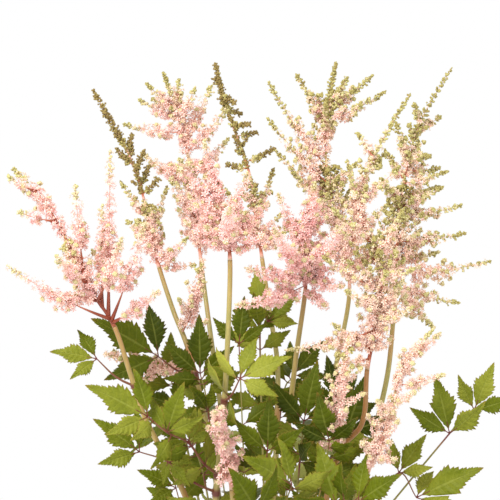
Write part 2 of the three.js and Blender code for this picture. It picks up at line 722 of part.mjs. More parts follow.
// A panicle's remaining sprays, which wind round it by the golden angle and get shorter on the way up.
function fillPanicle(shoot, stretch, count, longest, reach, rule = RULE) {
  for (let i = 0; i < count; i++) {
    const share = rule.first + (rule.span * (i + 0.5)) / count;
    const t = stretch.from + (stretch.to - stretch.from) * share;
    const root = shoot.curve.getPoint(t);
    const tangent = shoot.curve.getTangent(t);
    const first = draw(0, 2 * Math.PI) + i * GOLDEN_ANGLE;
    for (let tries = 0; tries < rule.turns; tries++) {
      const turn = first + (2 * Math.PI * tries) / rule.turns;
      const length = longest * (1 - rule.taper * share) * draw(0.8, 1.1);
      const side = squareTo(vec(Math.cos(turn), Math.sin(turn), 0), tangent);
      const tip = root.clone().addScaledVector(side, length * rule.out);
      tip.addScaledVector(tangent, length * rule.on);
      if (addSpray(shoot, stretch, share, tip, reach)) break;
    }
  }
}

function addChosenSprays(shoot) {
  for (const [share, ...tip] of shoot.sprays) {
    addSpray(shoot, stretchOf(shoot, 1), share, place(tip), shoot.reach);
  }
  for (const [share, ...tip] of shoot.budSprays ?? []) {
    addSpray(shoot, stretchOf(shoot, 2), share, place(tip), BUD_REACH);
  }
}

function addRuleSprays(shoot) {
  fillPanicle(shoot, stretchOf(shoot, 1), shoot.fill, shoot.fillLength, shoot.reach * FILL_REACH);
  if (shoot.budsAt < 1) fillPanicle(shoot, stretchOf(shoot, 2), BUD_FILL, BUD_LENGTH, BUD_REACH, BUD_RULE);
}

function addSideShoot(plan) {
  const node = `plume_${plan.name}`;
  const curve = curveThrough(plan.points.map(place));
  const length = curve.getLength();
  const radiusOfStem = (s) => THREE.MathUtils.lerp(SIDE_RADIUS, TWIG_RADIUS, s);
  const stem = limb(curve, { sides: RACHIS_SIDES, rings: 2, radiusAt: radiusOfStem, to: SIDE_BARE + SINK });
  addTo(node, clearOfStalk(stem, shoots.get(plan.host)));
  addTo(node, floretSpike(curve, length * (1 - SIDE_BARE), plan.reach, { from: SIDE_BARE }));
  const radiusAt = (s) => (s < SIDE_BARE ? STALK_TOP_RADIUS : spreadAt(s, plan.reach) + FLORET_MARGIN);
  takeAll(ballsAlong(curve, length, radiusAt), node);
  const whole = { node, from: 0, to: 1 };
  for (const [share, ...tip] of plan.sprays) {
    addSpray({ ...plan, curve }, whole, share, place(tip), plan.reach);
  }
}

// ---- Leaves ----

// The point on a shoot's stalk at a height.
function pointAtHeight(shoot, height) {
  let [low, high] = [0, shoot.bloomAt];
  for (let i = 0; i < 24; i++) {
    const middle = (low + high) / 2;
    if (shoot.curve.getPoint(middle).z < height) low = middle;
    else high = middle;
  }
  return shoot.curve.getPoint(low);
}

// Where a leaflet has room: it nods or swings until it is clear, and then it shortens.
function findLeaflet(hub, wanted, normal, size) {
  const hinge = wanted.clone().cross(normal).normalize();
  for (const shrink of LEAFLET_SHRINKS) {
    for (const nod of LEAFLET_NODS) {
      for (const swing of LEAFLET_SWINGS) {
        const direction = wanted.clone().applyAxisAngle(hinge, nod).applyAxisAngle(normal, swing);
        const length = size * shrink;
        const teeth = length > LONG_LEAFLET ? 4 : 3;
        const leaflet = { direction, face: normal.clone().applyAxisAngle(hinge, nod), length, teeth };
        if (allFree(bladeBalls(hub, leaflet))) return leaflet;
      }
    }
  }
  return undefined;
}

// Up to three leaflets at a hub, left to right.
function addLeaflets(node, hub, tip, face) {
  const middle = tip.clone().sub(hub).normalize();
  const normal = squareTo(face, middle);
  const { turn, length } = SIDE_LEAFLET;
  const found = [[1, length], [0, 1], [-1, length]].map(([way, share]) => {
    const wanted = middle.clone().applyAxisAngle(normal, way * turn * draw(0.94, 1.1));
    return findLeaflet(hub, wanted, normal, hub.distanceTo(tip) * share * draw(0.92, 1.06));
  });
  const leaflets = found.filter((leaflet) => leaflet);
  leaflets.forEach((leaflet) => takeAll(bladeBalls(hub, leaflet), node));
  if (leaflets.length) addTo(node, leafletFan(hub, middle, normal, leaflets));
}

// Where a petiole from the soil turns up, or where one from a stalk sags.
function petioleBend(root, hub, host) {
  if (host) return root.clone().lerp(hub, 0.5).sub(vec(0, 0, PETIOLE_SAG));
  return vec(root.x * PETIOLE_SPLAY, root.y * PETIOLE_SPLAY, SOIL_TOP + PETIOLE_RISE);
}

// A compound leaf, on a shoot's stalk or from the soil. It shifts in depth until its petiole is clear.
function addLeaf(node, plan, face) {
  const host = shoots.get(plan.on);
  const root = host ? pointAtHeight(host, plan.from) : vec(...plan.from, SOIL_TOP - ROOT_DEPTH);
  for (const shift of LEAF_SHIFTS) {
    const shifted = (point) => place(point).add(vec(0, shift, 0));
    const hubs = plan.hubs.map((ends) => shifted(ends.slice(0, 3)));
    const tips = plan.hubs.map((ends) => shifted(ends.slice(3)));
    const curve = curveThrough([root, petioleBend(root, hubs[0], host), ...hubs]);
    const length = curve.getLength();
    const balls = ballsAlong(curve, length, () => PETIOLE_BALL);
    if (!allFree(balls.filter(({ along }) => !host || along * length > ROOT_REACH), node)) continue;
    takeAll(balls, node);
    const rings = Math.max(3, hubs.length + 1); // so that a ring lies at each hub
    const radiusAt = (s) => PETIOLE_RADIUS * (1 - PETIOLE_TAPER * s);
    const petiole = limb(curve, { sides: 3, rings, radiusAt });
    addTo(node, host ? clearOfStalk(petiole, host) : petiole);
    if (!host) holes.push(limb(curve, { sides: 3, rings, radiusAt: (s) => radiusAt(s) + GAP * 2 }));
    hubs.forEach((hub, i) => addLeaflets(node, hub, tips[i], face));
    return true;
  }
  return false;
}

let leafCount = 0;
function addNextLeaf(plan, face) {
  const isPlaced = addLeaf(`leaf_${String(leafCount + 1).padStart(2, "0")}`, plan, face);
  if (isPlaced) leafCount++;
  return isPlaced;
}

// A leaf that grows by rule, leaning out on its bearing. It goes round the clump a little until it is
// clear.
function addRingLeaf(ring, bearing) {
  for (let tries = 0; tries < RING_TRIES; tries++) {
    const turn = THREE.MathUtils.degToRad(bearing + tries * RING_STEP + draw(-RING_STEP, RING_STEP));
    const outward = vec(Math.cos(turn), Math.sin(turn), 0);
    const hub = outward.clone().multiplyScalar(ring.distance).setZ(ring.height + draw(-14, 18));
    const tip = hub.clone().addScaledVector(outward, ring.length * 0.9);
    tip.z += ring.length * draw(-0.15, 0.35);
    const plan = { from: [outward.x * ring.root, outward.y * ring.root], hubs: [[...hub, ...tip]] };
    if (addNextLeaf(plan, outward.clone().multiplyScalar(0.8).setZ(1))) return;
  }
}

// ---- The pot and the soil ----

// A profile of [radius, height] points, turned round the upright axis.
function turned(profile) {
  const lathe = new THREE.LatheGeometry(profile.map(([r, z]) => new THREE.Vector2(r, z)), ROUND_SIDES);
  return solidOf(lathe.rotateX(Math.PI / 2));
}

const wallRadius = (z) => THREE.MathUtils.lerp(POT.baseRadius, POT.topRadius, z / POT.height);

function drainHole(i) {
  const bearing = (2 * Math.PI * i) / POT.drains;
  const drill = new THREE.CylinderGeometry(POT.drainRadius, POT.drainRadius, POT.floor * 4, 8);
  const [x, y] = [POT.drainRing * Math.cos(bearing), POT.drainRing * Math.sin(bearing)];
  return solidOf(drill.rotateX(Math.PI / 2).translate(x, y, 0));
}

function potSolid() {
  const { height, wall, floor, lipHeight, lipDepth, lipSlope, baseRadius } = POT;
  const lipBottom = height - lipHeight;
  let pot = turned([
    [0, 0],
    [baseRadius, 0],
    [wallRadius(lipBottom), lipBottom],
    [wallRadius(lipBottom) + lipDepth, lipBottom + lipSlope],
    [wallRadius(height) + lipDepth, height],
    [wallRadius(height) - wall, height],
    [wallRadius(floor) - wall, floor],
    [0, floor],
  ]);
  for (let i = 0; i < POT.drains; i++) pot = pot.subtract(drainHole(i));
  return pot;
}

function soilSolid() {
  const inner = (z) => wallRadius(z) - POT.wall - GAP * 2;
  const bottom = POT.floor + GAP;
  const soil = turned([[0, bottom], [inner(bottom), bottom], [inner(SOIL_TOP), SOIL_TOP], [0, SOIL_TOP]]);
  return holes.reduce((left, hole) => left.subtract(hole), soil);
}

// ---- The finished plant ----

SHOOTS.forEach(addShoot);
shoots.forEach(addTopSpike);
shoots.forEach(addChosenSprays);
SIDE_SHOOTS.forEach(addSideShoot);
LEAVES.forEach((plan) => addNextLeaf(plan, vec(...FRONT)));
shoots.forEach(addRuleSprays);
for (const ring of LEAF_RINGS) {
  for (let i = 0; i < ring.count; i++) addRingLeaf(ring, ring.bearing + ring.span * i);
}

const finish = (color, roughness) => new THREE.MeshStandardMaterial({ color, roughness, metalness: 0 });
const FINISHES = {
  stalk: finish(0xb9a765, 0.55),
  plume: finish(0xf3c3b8, 0.8),
  buds: finish(0x8a8a4a, 0.8),
  leaf: finish(0x5f8a2a, 0.5),
  pot: finish(0x2b2b2c, 0.6),
  soil: finish(0x3b2a1e, 0.95),
};

const plant = new THREE.Group();
function addNode(name, solid) {
  const mesh = new THREE.Mesh(geometryOf(solid), FINISHES[name.split("_")[0]]);
  mesh.name = name;
  plant.add(mesh);
}

addNode("pot", potSolid());
addNode("soil", soilSolid());
for (const [node, pieces] of solids) addNode(node, wasm.Manifold.union(pieces).simplify(SLIVER));

export default plant;
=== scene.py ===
"""An astilbe in flower in a plain nursery pot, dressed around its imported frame.

The plant is grown here by the same seeded plan as the frame's solids, in millimetres, so that each finer
stalk, spray and leaflet lies where the frame holds it. Each node of the frame has one piece that replaces it.
The petioles and the crumbs on the soil are pieces beside those. What is drawn is in metres, +Z up.
"""

import bmesh
import bpy
import numpy as np
from mathutils import Matrix, Vector, noise
from mathutils.kdtree import KDTree


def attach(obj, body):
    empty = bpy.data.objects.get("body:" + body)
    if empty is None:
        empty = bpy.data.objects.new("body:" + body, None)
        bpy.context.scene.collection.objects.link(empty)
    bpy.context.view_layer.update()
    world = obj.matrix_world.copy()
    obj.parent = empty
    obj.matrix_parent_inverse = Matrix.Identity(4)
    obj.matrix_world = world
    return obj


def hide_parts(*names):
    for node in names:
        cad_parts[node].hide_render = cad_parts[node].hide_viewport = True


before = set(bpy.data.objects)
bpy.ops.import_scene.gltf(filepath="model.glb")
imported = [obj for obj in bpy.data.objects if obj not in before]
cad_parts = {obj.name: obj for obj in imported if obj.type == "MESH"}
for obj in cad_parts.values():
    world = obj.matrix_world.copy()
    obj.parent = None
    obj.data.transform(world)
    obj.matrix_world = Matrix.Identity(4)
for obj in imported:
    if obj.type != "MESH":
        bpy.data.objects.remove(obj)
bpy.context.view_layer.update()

MM = 0.001

# ---- The plan of the plant, in millimetres ----

GAP = 0.3  # between pieces that touch
SEED = 20
POT_HEIGHT = 170
POT_TOP_RADIUS = 88
POT_BASE_RADIUS = 68
POT_WALL = 2.4
POT_FLOOR = 3
POT_LIP_HEIGHT = 15
POT_LIP_DEPTH = 4
POT_DRAINS = 5
POT_DRAIN_RADIUS = 5
POT_DRAIN_RING = 40
SOIL_TOP = 158

HEART = (-12, 0, 518)  # the middle of the flowers
LEAN = 1.6  # how much further the shoots lean forward and back at that height than at the soil
OPENING = 1 / 1900  # how much wider the clump is for each millimetre back

STALK_RADIUS = 3.3  # at the soil
STALK_TOP_RADIUS = 2.3  # where the panicle starts
RACHIS_TIP_RADIUS = 0.8
TWIG_RADIUS = 0.9  # the bare foot of a spray
BARE_SHARE = 0.14  # of a spray's length
SPRAY_TAPER = 0.5  # how much narrower a spray is at its tip
SPRAY_SAG = 0.07  # of a spray's length
FILL_REACH = 0.9  # radius of the sprays that grow by rule, as a share of the others'
SPIKE_SHARE = 0.5  # of a panicle that is its own top spike
BUD_REACH = 4.4  # a spray's radius over buds
BUD_FILL = 4
BUD_LENGTH = 20
SIDE_BARE = 0.28  # of a side shoot's length
SIDE_RADIUS = 1.4  # of its stem
SINK = 0.01  # how far a stem runs into the spike at its end, as a share of its curve
ROOT_REACH = 9  # how near its root a spray or petiole may touch what it grows from
ROOT_DEPTH = 22  # of a petiole in the soil
GOLDEN_ANGLE = 2.4

PETIOLE_RADIUS = 1.5  # at its root
PETIOLE_TAPER = 0.6  # how much thinner it is at its end
PETIOLE_SAG = 4  # of one that grows from a stalk
PETIOLE_SPLAY = 1.12  # how much further out one from the soil is where it bends
PETIOLE_RISE = 30  # how far above the soil that is
BLADE_FOLD = 0.22  # how far the halves rise from the midrib, for each millimetre out
BLADE_LIFT = 0.1  # how steeply a blade leaves its hub
BLADE_NOD = 0.16  # how far its tip then comes down, as a share of its length
BLADE_WIDTH_SHARE = 0.4  # of a leaflet's length
BLADE_BELLY = 0.9  # below 1, it is widest nearer its foot
SIDE_TURN = 0.84  # of a side leaflet from the middle one
SIDE_LENGTH = 0.76  # as a share of the middle one's

# What is drawn, as the least and the greatest share of what the rules give
FILL_LENGTHS = (0.8, 1.1)
LEAFLET_TURNS = (0.94, 1.1)
LEAFLET_LENGTHS = (0.92, 1.06)

# What is tried in turn where there is no room
SPRAY_SHRINKS = (1, 0.86, 0.72)
SPRAY_SHIFTS = (0, 9, -9, 18, -18, 27, -27)
LEAF_SHIFTS = (0, -8, 8, -16, 16, -24, 24, -32, 32)
LEAFLET_SHRINKS = (1, 0.82, 0.66)
LEAFLET_NODS = (0, 0.22, -0.22, 0.44, -0.44, 0.66, -0.66)
LEAFLET_SWINGS = (0, 0.12, -0.12)

# Sprays that grow by rule: where the first stands on the panicle, how much of it they take, how much shorter
# the last is, how far out and on they go for each millimetre of length, and how many bearings are tried.
RULE = {"first": 0.06, "span": 0.82, "taper": 0.55, "out": 0.82, "on": 0.5, "turns": 6}
BUD_RULE = {**RULE, "out": 0.46, "on": 0.85}

# The space that each piece takes, as balls
BALL_REACH = 16  # further apart than this, no two balls touch
BALL_PITCH = 5
STEM_MARGIN = 0.6
FLORET_MARGIN = 0.4
PETIOLE_BALL = 2.2
BLADE_BALL = 3.1
OWN_SHARE = 0.5  # how near the sprays of one panicle may come, as a share of what others keep

# ---- What it is dressed with, in millimetres ----
# Where a value is drawn, two numbers are its least and its greatest. One is its normal deviation, unless it
# says either way.

PETAL_LENGTH = 3.8
PETAL_WIDTH = 1.85
PETAL_FOOT = 0.2  # how far it starts from the flower's heart
PETAL_SHOULDER = 0.62  # of its length, where it is widest
PETAL_CUP = 0.25  # how far its shoulder rises over the line that it leans on
PETAL_DROOP = 0.3  # and how far its tip falls below it
PETAL_REACHES = (0, 0.6, 0.6, 1)  # the mark reach at its foot, its two shoulders and its tip
PETALS = 5
HALF_PETALS = 4  # that show on a flower half open
OPEN_SPREAD = 1.15  # how far an open flower's petals lean out, in radians
HALF_SPREAD = 0.65
STAMENS = 2
STAMEN_LENGTH = 3.1
STAMEN_SPREAD = 0.55  # how far they lean out, beside the petals
STAMEN_REACHES = (2, 2, 2, 0.2)  # the mark reach at an anther's three corners and its thread's foot
ANTHER_WIDTH = 0.5
BUD_RADIUS = 1.6
BUD_STRETCH = 1.15
BUD_SIDES = 5

BRANCHLET_RADIUS = 0.28
BRANCHLETS = 5  # in a whorl
SIDE_BRANCHLETS = 4  # and in a whorl of a smaller twig
BRANCHLET_SWING = 0.5  # either way, in radians
BRANCHLET_LEAN = (0.3, 0.95)  # how far ahead one leans, in radians
BRANCHLET_LENGTH = (0.5, 1.08)  # of the twig's radius there
BRANCHLET_RED, BRANCHLET_FADE = 0.42, 0.36  # at the twig's foot, and how much less at its tip
LAST_BRANCHLET = 0.985  # of the twig
BUD_TUCK = 0.72  # how long a branchlet in bud is beside one in flower
TIP_REACH = 0.08  # of a twig, where its branchlets grow shorter
TIP_SHORTEST = 0.5  # how long they are at its very tip, beside the others
WHORL_PITCH = 5.4
BUD_PITCH = 3.8  # between whorls on a panicle in bud
WHORL_SPREAD = 0.24  # of the pitch, either way

FLOWER_STALK = 0.9
FLOWER_OVERHANG = 0.75  # of a petal's length, that an open flower adds to its branchlet
SHORTEST_STEM = 1.2
BESIDE = 0.35  # how far from its branchlet a flower beside it stands
# Flowers on a branchlet: share of it, how far aside they look, and the shortest branchlet that has one there.
FLOWER_PLACES = ((1.0, 0.12, 0), (0.62, 0.8, 4.6), (0.3, 0.8, 7.5))
FLOWER_ASIDE_SPREAD = 0.4
FLOWER_SIZES = (0.82, 1.1)
YOUNG_SIZE = 0.62  # of a flower that has just opened, beside a full one
GROWN_AFTER = 0.3  # how much older than OPENS_AT a full one is
WIDE_SHARE = 0.6  # of the flowers that are wide open
BLUSH_SPREAD = 0.16  # from branchlet to branchlet
FLOWER_BLUSH_SPREAD = 0.12  # and from flower to flower
BUD_PLACES = (1.0, 0.68, 0.36)
BUD_NEAREST = 0.9  # to its twig
BUD_SCATTER = 0.45
BUD_FACE_SPREAD = 0.25
BUD_SIZES = (0.75, 1.15)
BUD_SMALLEST, BUD_GROWTH = 0.8, 0.4  # the size of the youngest, and what age adds to it
BUD_TINT, BUD_TINT_SPREAD = 0.9, 0.05  # of its age
BUD_TINT_LAST = 0.49  # just under OPENS_AT

AGE_SPAN = 1.0  # of a spray, over which age falls from 1 to 0
OPENS_AT = 0.5  # the age at which a bud is a flower
LEAST_AGE = 0.02  # of a bud, where its look gives none
TWIG_SPREAD = (1.45, 0.75)  # how much wider a twig's flowers spread at its foot, and at its tip
TWIG_CROWDING = (1.4, 0.6)  # and how many more stand together
BUD_SPREAD = (1.35, 0.9)  # how a twig all in bud spreads
BUD_FULLNESS = 1.3  # how far its buds reach, beside the solid's spikes
SPRAY_FULLNESS = 1.15  # and how far a spray's flowers do
TIP_BUDS = 14  # in the cone at a twig's end
TIP_STRETCH = 0.86  # of a spray, where its cone starts
TIP_WIDTH = 2.0
BUD_TIP_WIDTH = 1.2  # where the whole twig is in bud
TIP_POINT = 0.5  # how wide the cone is at its end
TIP_SIZES = (0.9, 0.65)  # of its buds, from its foot to its end
TIP_AGE = 0.4  # of its oldest bud

# Smaller twigs on a spray, on a panicle's axis, and on one in bud: where they stand, how far apart, their
# length as a share of what is left of it, their greatest length, how far ahead they lean, in radians, and
# their reach as a share of its own, which is SIDE_REACH where none is given.
ON_SPRAYS = {"stretch": (0.08, 0.55), "pitch": 8, "share": 0.3, "longest": 16, "lean": (0.6, 1.0)}
ON_AXES = {"stretch": (0.04, 0.86), "pitch": 7, "share": 0.5, "longest": 26, "lean": (0.6, 1.15)}
ON_BUD_AXES = {
    "stretch": (0.03, 0.7), "pitch": 15, "share": 0.3, "longest": 16, "lean": (0.7, 1.0), "reach": 1.5,
}
SIDE_REACH = 0.72
SIDE_PLACES = (0.2, 0.8)  # of the stretch that each one has
SIDE_LENGTHS = (0.55, 1.1)  # of the length by rule
SIDE_SHORTEST = 5
SIDE_SWING = 0.6  # either way, in radians
SIDE_TWIG_BARE = 0.2
SIDE_AHEAD = 0.8  # how late its foot flowers, as a share of how far up it stands
SIDE_LATER = 0.45  # and how much later its tip does
BARE_NEAR = 0.8  # of a bare foot, where smaller twigs may start

ROD_STEP = 4
ROD_TAPER = 0.6  # how much thinner a twig is at its tip
ROD_LEAST_RED = 0.2  # beside its foot
SPRAY_ROD_RADIUS = 0.55
SIDE_ROD_RADIUS = 0.35
FOOT_REACH = 0.35  # of a spray, where a thick foot has tapered off
RED_REACH = 0.6  # and where it has lost its red
RACHIS_SLIMNESS = 0.8  # of a panicle's axis, beside the solid's
RED_FROM = 0.09  # of a panicle, where its axis has lost its stalk's colour
AXIS_RED_FADE = 0.6  # how much less red it is at its tip
AXIS_REACH = 9  # how far flowers stand out from it
AXIS_BUD_REACH = 2.1  # and buds
AXIS_BARE = 0.1
AXIS_RIPENESS = 0.45  # how late they come into flower


def bloom(open_share, younger, blush, red, ragged, **more):
    """How a panicle looks.

    open_share: the share of a low spray in flower, and younger: how much less that is at the top
    blush: how pink it is, red: how dark its twigs are, and ragged: how mixed its ages are
    least_age: the least age of its buds, which look paler for it
    crowd, long: how many times as many smaller twigs it has, and how many times as long
    slim: how narrow it is, and bare: the share of its axis and sprays below their first flowers
    foot: how much thicker its sprays' feet are, and collar: how much red its axis has where it starts
    """
    return {"open": open_share, "younger": younger, "blush": blush, "red": red, "ragged": ragged, **more}


LOOKS = {
    "plume_a": bloom(1.0, 0.25, 0.72, 1.2, 0.07, least_age=0.2, crowd=1.8, bare=0.33, foot=1.7, collar=0.5),
    "plume_b": bloom(0.85, 0.4, 0.6, 0.7, 0.1, crowd=1.3),
    "plume_c": bloom(0.92, 0.3, 0.55, 0.6, 0.09, least_age=0.14, crowd=1.2, long=1.15, foot=0.3),
    "plume_d": bloom(0.8, 0.45, 0.6, 0.75, 0.12, crowd=1.2),
    "plume_e": bloom(1.1, 0.2, 0.75, 0.8, 0.06, least_age=0.25, crowd=1.3),
    "plume_f": bloom(1.1, 0.2, 0.88, 0.8, 0.06, least_age=0.25, crowd=1.3),
    "plume_g": bloom(0.8, 0.42, 0.42, 0.7, 0.14, least_age=0.18, crowd=1.65, long=1.5, foot=0.4),
    "plume_h": bloom(0.72, 0.45, 0.3, 0.8, 0.16, least_age=0.2, crowd=2.0, long=1.7, foot=0.3),
    "plume_j": bloom(1.05, 0.25, 0.35, 0.5, 0.08, least_age=0.22, crowd=1.2, slim=0.85),
    "plume_k": bloom(0.85, 0.35, 0.3, 0.9, 0.15, least_age=0.2, crowd=1.4, long=1.6, foot=0.8),
    "plume_l": bloom(1.1, 0.15, 0.75, 0.6, 0.05, least_age=0.3),
    "plume_m": bloom(1.0, 0.2, 0.45, 0.6, 0.1, least_age=0.2, slim=0.8),
    "plume_n": bloom(0.9, 0.2, 0.5, 0.6, 0.1, least_age=0.2, slim=0.75),
    "plume_p": bloom(0.9, 0.2, 0.5, 0.6, 0.1, least_age=0.2, slim=0.6),
    "buds_b": bloom(-0.1, 0.2, 0.3, 0.7, 0.05),
    "buds_d": bloom(0.1, 0.3, 0.3, 0.7, 0.06),
}
ALL_BUD = 0.3  # panicles with less in flower than this are all in bud

STALK_STEP = 4
STALK_RESOLUTION = 4  # that makes 12 sides
# How tan each stalk is, from green-yellow at 0 to tan at 1
WARMTH = {"stalk_a": 0.45, "stalk_f": 0.35, "stalk_k": 0.95, "stalk_b": 0.3}
WARMTH_ELSEWHERE = 0.15
TOP_WARMTH = 0.4  # how much more tan it is where the panicle starts
TOP_FROM = 0.86
JOINT_SWELL = 0.45  # of the stalk's radius
JOINT_REACH = 3.4
JOINT_HAIRS = 26
HAIR_SPREAD = 0.004  # of the stalk's curve
HAIR_LEAN = (0.1, 0.9)
HAIR_LENGTH = 4.2
HAIR_SHARES = (0.5, 1)  # of that length
HAIR_RADIUS = 0.28
HAIR_RED = 0.85

SIDE_VEINS = 9  # on each side of a leaflet
VEIN_START = 0.25  # of the way from one vein to the next, so that they run out in the big teeth
BLADE_START = 0.07
BLADE_ROWS, BLADE_COLUMNS = 37, 5  # the rows are notches and tips of teeth by turns
BLADE_THICKNESS = 0.35
BLADE_FULLNESS = 1.12  # how wide it is beside the solid's
BLADE_SHOULDER = 0.34  # how far along it the blade comes to its full width
SHOULDER_ROUNDING = 0.9
BIG_TOOTH = 0.24  # how deep its notch is, as a share of the half width
SMALL_TOOTH = 0.13
BIG_POINT = 0.5  # how far its point stands out, as a share of the notch
SMALL_POINT = 0.4
TOOTH_EDGE = 3  # the higher, the nearer to the edge the teeth stay
EDGE_SLANT = 0.12  # how far ahead of the midrib a vein ends, as a share of the leaflet
TOOTH_LEAN = 0.3  # how much further a tooth's point leans
TOOTH_LEAN_EDGE = 4
QUILT = 1.3  # how far the blade swells between its veins
WAVE = 1.5  # how far its edge goes up and down
WAVE_TURNS = 9  # along it, in radians
WAVE_OFFSET = 2  # between its two edges
WAVE_PHASES = (0, 6)
TIP_CURL = 2.2
CURL_POWER = 4  # the higher, the nearer to the tip it curls
TIP_FROM = 0.58  # where a leaflet starts to be drawn out to its tip
TIP_SLIMMING = 0.32
MERGE_DISTANCE = 0.01  # between points that a blade's ends draw together
PETIOLULE_RADIUS = 0.7
PETIOLULE_TAPER = 2.4  # how fast it thins, over the leaflet's whole length
PETIOLULE_REACH = 0.22  # of the leaflet
PETIOLULE_RED = 0.8
PETIOLE_FEWEST_RINGS = 6
PETIOLE_BLUSH = 0.05  # how red a petiole is between its hubs
STALK_LEAF_BLUSH = 0.55  # and where it grows from a stalk
HUB_RED_SHARPNESS = 30  # how soon the red at a hub fades
# How pale and yellow each leaf is
YOUTH = {
    "leaf_01": 0.36, "leaf_02": 0.26, "leaf_03": 0.38, "leaf_04": 0.42, "leaf_05": 0.32, "leaf_06": 0.28,
    "leaf_07": 0.5, "leaf_08": 0.58, "leaf_09": 0.16, "leaf_10": 0.22, "leaf_11": 0.14, "leaf_12": 0.56,
    "leaf_13": 0.62, "leaf_14": 0.6, "leaf_15": 0.4, "leaf_16": 0.3, "leaf_17": 0.42, "leaf_18": 0.42,
    "leaf_19": 0.16, "leaf_20": 0.18, "leaf_21": 0.36,
}
YOUTH_ELSEWHERE = 0.3
LEAF_YOUTH_SPREAD = 0.05
LEAFLET_YOUTH_SPREAD = 0.12

# Smaller leaflets stand in pairs on the petioles, below the hubs.
NO_PAIRS = ("leaf_01", "leaf_02", "leaf_04", "leaf_13", "leaf_14")  # leaves with a bare petiole
PAIR_ROWS, PAIR_COLUMNS = 21, 3
PAIR_PITCH = 26
PAIR_LOWEST = 236  # above the surface that the pot stands on
PAIR_HIGHEST = 0.93  # of the petiole
PAIR_LENGTH = (34, 46)
PAIR_SHORTEST = 24
PAIR_LEAN = 0.55  # how far they point along the petiole, beside how far out
PAIR_LEANS = (0.6, 1.4)  # of that lean
PAIR_YOUTH, PAIR_YOUTH_SPREAD = 0.1, 0.14  # added to their leaf's
PAIR_FACE_UP = 60  # how far those outside the chosen leaves face up, beside how far out

POT_SIDES = 96
POT_EDGE = 0.8  # how far its corners are taken off
POT_FOOT_RING = 13  # how wide the ring is that it stands on
POT_RECESS = 2  # how far its underside is raised within that ring
POT_STEP_HEIGHT = 22  # where its wall steps out
POT_STEP = 0.7
POT_CROOK = (0.2, 0.4)  # how far out, and how far below the lip, the wall turns out under it
POT_LIP_TURN = (1.1, 2)  # how far above the lip's underside its lower edge starts and ends
POT_BRIM = (0.5, 0.6)  # how far in and down its inner edge is taken off
POT_SHARP = 38  # degrees, from which an edge isn't smoothed
DRAIN_SIDES = 24

SOIL_RINGS, SOIL_SIDES = 34, 120
LUMP_SCALE, LUMP_HEIGHT = 90, 3.2
LUMP_LAYERS = (0.9, 2.1, 5)  # how fast they fade, how much finer each is than the last, and how many
GRAIN_SCALE, GRAIN_HEIGHT = 420, 0.9
SOIL_RIM = 6  # from the pot's wall, where the lumps run out
SOIL_SUNK = 0.8
CRUMBS = 420
CRUMB_RING = 0.94  # of the soil's radius
CRUMB_SIZES = (0.9, 2.6)
CRUMB_TILT = 0.7  # either way, in radians
CRUMB_WIDTHS = (0.5, 1)  # of its size
CRUMB_HEIGHTS = (0.4, 0.8)

FLOOR_RADIUS, FLOOR_DROP, FLOOR_SIDES = 1400, 0.2, 96

# ---- Light and view, in metres ----

WORLD_LIGHT = 0.88
WORLD_TINT = (0.98, 0.99, 1)
KEY_LAMP = {"at": (-1.1, -1.8, 2.0), "watts": 66, "size": 1.2}
FILL_LAMP = {"at": (1.8, -1.2, 0.9), "watts": 10, "size": 1.6}
LOOKED_AT = Vector((-0.012, 0, 0.518))
FIELD = 0.5  # how wide the view is there
LENS, SENSOR = 135, 36  # in millimetres

# Colours, as linear light
PETAL_CREAM, PETAL_PEACH, PETAL_PINK = (0.95, 0.78, 0.60), (0.97, 0.67, 0.57), (0.96, 0.55, 0.54)
PETAL_HEART, PETAL_TIP, PETAL_YOUNG = (0.93, 0.58, 0.48), (0.98, 0.82, 0.72), (0.86, 0.72, 0.44)
ANTHER = (0.72, 0.50, 0.33)
BUD_DARK, BUD_OLIVE, BUD_GREEN = (0.32, 0.23, 0.08), (0.47, 0.41, 0.14), (0.68, 0.64, 0.28)
BUD_CREAM, BUD_SHADE = (0.90, 0.74, 0.54), (0.78, 0.72, 0.62)
TWIG_GREEN, TWIG_PINK = (0.62, 0.52, 0.28), (0.80, 0.42, 0.32)
TWIG_RED, TWIG_DARK = (0.52, 0.15, 0.07), (0.28, 0.055, 0.022)
STALK_GREEN, STALK_STRAW = (0.28, 0.28, 0.06), (0.46, 0.39, 0.13)
STALK_TAN, STALK_ORANGE, STALK_JOINT = (0.42, 0.24, 0.08), (0.47, 0.19, 0.06), (0.13, 0.025, 0.012)
PETIOLE_GREEN, PETIOLE_BRONZE, PETIOLE_RED = (0.27, 0.27, 0.05), (0.26, 0.13, 0.05), (0.17, 0.03, 0.02)
LEAF_DEEP, LEAF_GREEN, LEAF_YOUNG = (0.032, 0.047, 0.002), (0.122, 0.148, 0.004), (0.37, 0.37, 0.05)
LEAF_UNDER, LEAF_UNDER_YOUNG = (0.30, 0.32, 0.07), (0.44, 0.45, 0.13)
LEAF_GRAIN, LEAF_VEIN, LEAF_EDGE = (0.78, 0.80, 0.66), (0.34, 0.36, 0.07), (0.26, 0.11, 0.02)
POT_BLACK, POT_GREY = (0.012, 0.012, 0.013), (0.035, 0.035, 0.037)
SOIL_DARK, SOIL_BROWN, SOIL_FIBRE = (0.018, 0.011, 0.007), (0.055, 0.033, 0.018), (0.13, 0.08, 0.045)
FLOOR_PALE = (0.90, 0.90, 0.895)

# ---- Where it grows, in millimetres ----
# points run up a shoot from the soil, with y as their depth. bloom and buds count the points below its
# panicle and its buds, and reach is a spray's radius over its florets. A spray is its place on the panicle
# and its tip. As many more as fill says, up to fill_length long, grow by rule.

